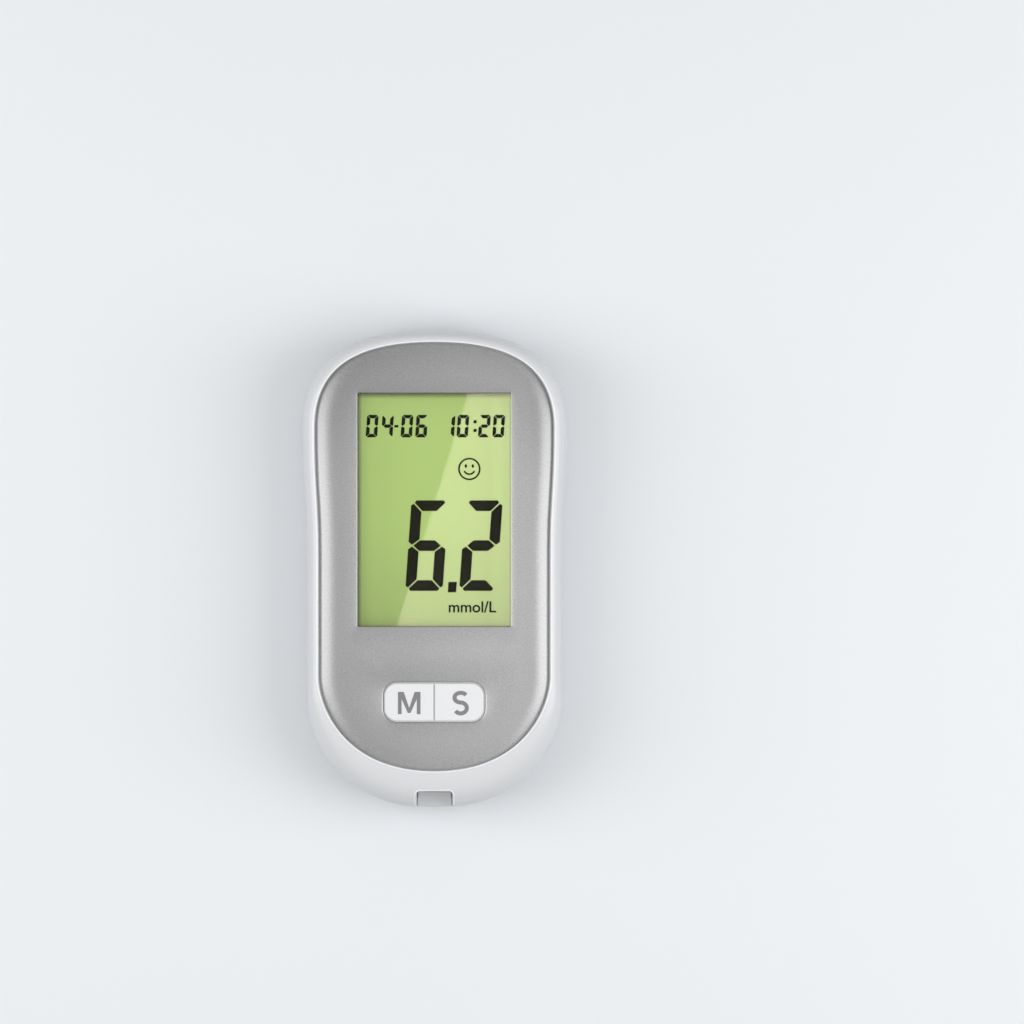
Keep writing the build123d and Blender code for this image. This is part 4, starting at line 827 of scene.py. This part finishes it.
def bar_outlines(width, height, stroke, gap, clip):
    """The outlines of a figure's seven bars, with its lower left corner at the origin.

    The upper and left bars are written down. The others are their mirror images about the middle.
    """
    w, h, t, g, c, m = width, height, stroke, gap, clip, height / 2
    top = np.array([(c, h), (c / 2 + g, h - c / 2), (t + g, h - t), (w - t - g, h - t),
                    (w - c / 2 - g, h - c / 2), (w - c, h)])
    left = np.array([(0, h - c), (0, m + t / 4 + g), (t / 3, m + g), (t, m + t / 2 + g), (t, h - t - g),
                     (c / 2, h - c / 2 - g)])
    middle = np.array([(t / 3 + 1.5 * g, m), (t + g / 2, m - t / 2), (w - t - g / 2, m - t / 2),
                       (w - t / 3 - 1.5 * g, m), (w - t - g / 2, m + t / 2), (t + g / 2, m + t / 2)])

    def across(bar):
        return (bar * (-1, 1) + (w, 0))[::-1]

    def down(bar):
        return (bar * (1, -1) + (0, h))[::-1]

    return {"a": top, "d": down(top), "f": left, "e": down(left), "b": across(left),
            "c": down(across(left)), "g": middle}


def leaning(outline, place):
    """A flat shape as a thin stack under the front glass, leaned over and moved to its place."""
    points = np.array(outline, float)
    points = points + np.outer(points[:, 1] * LEAN, (1, 0)) + np.array(place)
    return prism(points, FIGURE_LOW, FIGURE_HIGH)


def row(figures, foot, sizes):
    """The lit bars of some figures, each at its own place across, on one base line."""
    outlines = bar_outlines(**sizes)
    return [leaning(outlines[bar], (x, foot)) for figure, x in figures for bar in BARS[figure]]


def dot(place, width, height):
    """A small upright rectangle, leaned over like the figures, with its lower left corner at a place."""
    return leaning([(0, 0), (width, 0), (width, height), (0, height)], place)


def ink_on_display(name, stacks):
    """One piece of ink on the display from several stacks."""
    add_piece(stacked_mesh(name, stacks), display_ink, "case")


# %% Date and time
SMALL = {"width": 2.3, "height": 4.55, "stroke": 0.7, "gap": 0.06, "clip": 0.34}
SMALL_FOOT = 26.7
DATE = (("0", -13.9), ("4", -10.8), ("0", -6.85), ("6", -3.9))  # each figure and its place across
TIME = (("1", 1.65), ("0", 4.45), ("2", 8.8), ("0", 11.7))
HYPHEN_X, HYPHEN_RISE, HYPHEN_SIZE = -8.12, 2.0, (0.8, 0.5)
COLON_X, COLON_RISES, COLON_SIZE = 7.9, (1.1, 2.85), (0.62, 0.62)

hyphen = dot((HYPHEN_X, SMALL_FOOT + HYPHEN_RISE), *HYPHEN_SIZE)
colon = [dot((COLON_X, SMALL_FOOT + rise), *COLON_SIZE) for rise in COLON_RISES]
ink_on_display("display_date", [*row(DATE, SMALL_FOOT, SMALL), hyphen])
ink_on_display("display_time", [*row(TIME, SMALL_FOOT, SMALL), *colon])

# %% The reading
LARGE = {"width": 7.55, "height": 18.3, "stroke": 2.15, "gap": 0.19, "clip": 1.0}
LARGE_FOOT = -4.35
READING = (("6", -5.9), ("2", 5.0))
POINT_X, POINT_RISE, POINT_SIZE = 2.7, -0.3, (1.7, 2.1)

point = dot((POINT_X, LARGE_FOOT + POINT_RISE), *POINT_SIZE)
ink_on_display("display_reading", [*row(READING, LARGE_FOOT, LARGE), point])

# %% [markdown]
# ## The unit
# The unit under the reading is plain lettering, and Blender's own font gives its outlines. The text is
# made a mesh first, then scaled and moved in its points, so that the finished piece keeps its place in
# its mesh.

# %% The unit's letters
UNIT_CENTRE, UNIT_HEIGHT = (7.7, -7.6), 2.3
UNIT_WEIGHT = 0.015  # how far the outlines are pushed out, as a part of the font's size


def lettering(name, words, centre, height, weight):
    """A mesh of words on the display, as high as its ascenders, centred on a point."""
    curve = bpy.data.curves.new(name, "FONT")
    curve.body = words
    curve.extrude = 0.5  # any depth does, because the points are put at the right heights below
    curve.offset = weight
    holder = bpy.data.objects.new(name, curve)
    bpy.context.scene.collection.objects.link(holder)
    bpy.context.view_layer.update()
    mesh = bpy.data.meshes.new_from_object(holder)
    bpy.data.objects.remove(holder)
    places = np.empty(len(mesh.vertices) * 3)
    mesh.vertices.foreach_get("co", places)
    places = places.reshape(-1, 3)
    least, most = places.min(0), places.max(0)
    scale = height / (most[1] - least[1])
    middle = (least + most) / 2
    flat = (places[:, :2] - middle[:2]) * scale + np.array(centre)
    rise = (places[:, 2] - least[2]) / (most[2] - least[2])
    heights = rise * (FIGURE_HIGH - FIGURE_LOW) + FIGURE_LOW
    mesh.vertices.foreach_set("co", (np.column_stack([flat, heights]) * MM).ravel())
    mesh.name = name
    mesh.materials.clear()
    mesh.update()
    return mesh


unit = lettering("display_unit", "mmol/L", UNIT_CENTRE, UNIT_HEIGHT, UNIT_WEIGHT)
add_piece(unit, display_ink, "case")

# %% [markdown]
# ## The smile
# A small face in a ring is the plain sign for a reading in range. The ring and the mouth are thin
# strokes: a circle or an arc with a width, which is a band between two radii. The eyes are ellipses.

# %% Ring, eyes and mouth
SMILE_CENTRE = np.array((7.07, 20.3))
SMILE_STROKE = 0.34
RING_RADIUS, MOUTH_RADIUS, MOUTH_RISE = 2.1, 1.15, 0.1
EYE_ACROSS, EYE_RISE, EYE_REACH = 0.7, 0.6, (0.24, 0.38)
EYE_STEPS = 20


def band(radius, start, end, steps, centre):
    """A strip between two angles: inner and outer edge, below and above, carried along them."""
    angles = np.radians(np.linspace(start, end, steps + 1))
    around = np.stack([np.cos(angles), np.sin(angles)], -1)
    outer, inner = radius + SMILE_STROKE / 2, radius - SMILE_STROKE / 2
    corners = ((outer, FIGURE_LOW), (outer, FIGURE_HIGH), (inner, FIGURE_HIGH), (inner, FIGURE_LOW))
    rings = [at_height(around * reach + centre, height) for reach, height in corners]
    return np.stack(rings, 1)[::-1]


def ellipse(centre, reach):
    """An ellipse on the display: the centre plus (reach across cos a, reach along sin a)."""
    angles = np.linspace(0, 2 * np.pi, EYE_STEPS, endpoint=False)
    points = np.stack([reach[0] * np.cos(angles), reach[1] * np.sin(angles)], -1) + centre
    return prism(points, FIGURE_LOW, FIGURE_HIGH)


ink_on_display("display_smile_strokes", [  # the ring in two halves, and the mouth
    band(RING_RADIUS, 0, 180, 32, SMILE_CENTRE), band(RING_RADIUS, 180, 360, 32, SMILE_CENTRE),
    band(MOUTH_RADIUS, 205, 335, 20, SMILE_CENTRE + (0, MOUTH_RISE)),
])
ink_on_display("display_smile_eyes", [
    ellipse(SMILE_CENTRE + (side * EYE_ACROSS, EYE_RISE), EYE_REACH) for side in (-1, 1)
])

# %% [markdown]
# ## The keys
# Each key is half of one rounded bar, with a soft edge and a letter printed on it. Between the keys and
# the plate stands a thin lip of the same rubber, so the gap looks pale and not black. The print has to lie
# on the key, yet nothing may stand higher than the CAD model, so the key is made again with its top
# a hair lower, and the letter takes up the difference. A stack of rings follows the soft edge: at angle
# a the ring is drawn in by r(1 - cos a) and stands r sin a up.

# %% Key caps
KEY_SPLIT = -key_high[0]  # from the middle to each key
KEY_EDGE = 0.3
KEY_LAND = 1.2  # how far in the last ring of the top stands
SPLIT_CORNER = 0.12
KEY_TOP = 20.07
KEY_FLANGE_LOW, KEY_FLANGE_TOP = 16.65, 17.1
LETTER_LOW, LETTER_TOP = KEY_TOP - 0.02, 20.1  # the print starts a hair inside the key


def half_bar(side, near, far, y, corner):
    """The outline of one half of the bar: wide corners outside, small ones at the split."""
    if side > 0:
        return rounded_box((near, far), y, (corner, corner, SPLIT_CORNER, SPLIT_CORNER))
    return rounded_box((-far, -near), y, (SPLIT_CORNER, SPLIT_CORNER, corner, corner))


def key_outline(side, inset):
    """The outline of one key, drawn in by inset."""
    y = (KEY_Y[0] + inset, KEY_Y[1] - inset)
    return half_bar(side, KEY_SPLIT + inset, KEY_SPAN - inset, y, KEY_CORNER - inset)


def key_stack(side):
    """Rings up the wall of a key, over its soft edge, and in across its top."""
    angles = np.linspace(0, np.pi / 2, 9)
    edge = [(KEY_EDGE * (1 - np.cos(a)), KEY_TOP - KEY_EDGE * (1 - np.sin(a))) for a in angles]
    profile = [(0.0, KEY_FLANGE_TOP), *edge, (KEY_LAND, KEY_TOP)]
    return np.stack([at_height(key_outline(side, inset), height) for inset, height in profile])


def key_foot(side):
    """The flange under the case's front wall that keeps the key from falling out."""
    y = (KEY_Y[0] - FLANGE_REACH, KEY_Y[1] + FLANGE_REACH)
    outline = half_bar(side, KEY_SPLIT, KEY_SPAN + FLANGE_REACH, y, KEY_CORNER + FLANGE_REACH)
    return prism(outline, KEY_FLANGE_LOW, KEY_FLANGE_TOP)


# %% The pad's lip
LIP_LOW, LIP_TOP, LIP_EDGE = 17.3, 19.62, 0.06
LIP_CLEAR = 0.04  # from the keys, which slide past it, and half of that from the plate


def key_bar(margin):
    """The outline of both keys together, grown by a margin."""
    return rounded_box(*grown((-KEY_SPAN, KEY_SPAN), KEY_Y, margin), [KEY_CORNER + margin] * 4)


lip_wall = np.stack([
    at_height(key_bar(KEY_OPENING_GAP - LIP_CLEAR / 2 - inset), height)
    for inset, height in ((0.0, LIP_LOW), (0.0, LIP_TOP - LIP_EDGE), (LIP_EDGE, LIP_TOP))
])
lip_holes = [prism(key_outline(side, -LIP_CLEAR), LIP_TOP, LIP_LOW) for side in (-1, 1)]
add_piece(pierced_mesh("key_pad_lip", lip_wall, lip_holes), FINISHES["key_white"], "case")

# %% Letter outlines
LETTER_STROKE = 0.82
M_WIDTH, M_HEIGHT, M_PLACE = 4.55, 4.5, (-5.05, -26.95)
M_STEM, M_TOP, M_POINT = 0.9, 1.42, 0.34  # in strokes: a stem, its top, and half the V's point
M_NOTCH, M_FORK = 0.28, 0.68  # in heights: the foot of the upper notch, and where stem and V part
M_REST = 0.25  # how high the V's point stands
S_REACH = (1.25, 1.22)  # of the upper bowl across, and of the lower bowl across
S_BOWL, S_PLACE = (0.98, 1.1), (5.35, -26.85)  # half of each bowl's height
S_UPPER, S_LOWER = (32, 265), (85, -148)  # the degrees that the spine runs through in each bowl


def letter_m():
    """The outline of an M: two stems, and a V between them that ends a little above the base line."""
    w, h, s = M_WIDTH, M_HEIGHT, LETTER_STROKE
    left = np.array([
        (w / 2, h * M_NOTCH), (s * M_TOP, h), (0, h), (0, 0), (s * M_STEM, 0), (s * M_STEM, h * M_FORK),
        (w / 2 - s * M_POINT, M_REST),
    ])
    right = (left[1:] * (-1, 1) + (w, 0))[::-1]
    return np.concatenate([left, right]) - (w / 2, h / 2)


def letter_s():
    """The outline of an S: half the stroke on each side of a spine, which is two parts of ellipses."""
    upper, lower = (np.radians(np.linspace(*turn, 30)) for turn in (S_UPPER, S_LOWER))
    spine = np.concatenate([
        np.stack([S_REACH[0] * np.cos(upper), S_BOWL[0] * np.sin(upper) + S_BOWL[0]], -1),
        np.stack([S_REACH[1] * np.cos(lower), S_BOWL[1] * np.sin(lower) - S_BOWL[1]], -1),
    ])
    along = np.gradient(spine, axis=0)
    normal = np.stack([-along[:, 1], along[:, 0]], -1) / np.linalg.norm(along, axis=1)[:, None]
    reach = normal * LETTER_STROKE / 2
    return np.concatenate([spine - reach, (spine + reach)[::-1]])


# %% Keys with their letters
key_white = FINISHES["key_white"]
key_ink = finish("key_ink", (128, 126, 130), (140, 138, 142), 0.5, grain=1500)
for key_name, side, outline, centre in (("m", -1, letter_m(), M_PLACE), ("s", 1, letter_s(), S_PLACE)):
    body = f"{key_name}_key_body"
    cap_mesh = stacked_mesh(f"{key_name}_key_cap", [key_foot(side), key_stack(side)])
    cap = add_piece(cap_mesh, key_white, body, smooth_below=50)
    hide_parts(f"{key_name}_key")
    print_stack = prism(outline + np.array(centre), LETTER_LOW, LETTER_TOP)
    add_piece(stacked_mesh(f"{key_name}_key_letter", [print_stack]), key_ink, body)

# %% [markdown]
# ## The table
# The floor is a plain pale sheet with the meter's soft shadow on it. It isn't part of the meter. Seen
# directly, in a reflection or through glass it is pale, and the light that it throws back at the meter is
# that of a darker sheet.

# %% Floor
FLOOR_SPAN = 6000.0
PAPER_UNSEEN = (188, 190, 193)  # what the paper throws back at the meter, so that its edges turn grey
corners = np.array([(-1, -1, 0), (1, -1, 0), (1, 1, 0), (-1, 1, 0)]) * FLOOR_SPAN / 2
floor_mesh = mesh_from("table_top", corners, [(0, 1, 2, 3)])
floor = bpy.data.objects.new("table_top", floor_mesh)
bpy.context.scene.collection.objects.link(floor)
paper = finish("table_paper", (236, 239, 242), (240, 243, 246), 0.8, grain=900, cloud=4, grain_tone=0.1)
path = add_node(paper.node_tree, "LightPath").outputs
looked_at = path["Is Camera Ray"]
for kind in ("Is Glossy Ray", "Is Transmission Ray"):
    looked_at = math_node(paper.node_tree, "MAXIMUM", looked_at, path[kind])
unseen = {"Factor": looked_at, "A": srgb(*PAPER_UNSEEN)}
recolour(paper, "Mix", "B", "Result", unseen, data_type="RGBA")
floor_mesh.materials.append(paper)
print("floor", FLOOR_SPAN, "mm across")
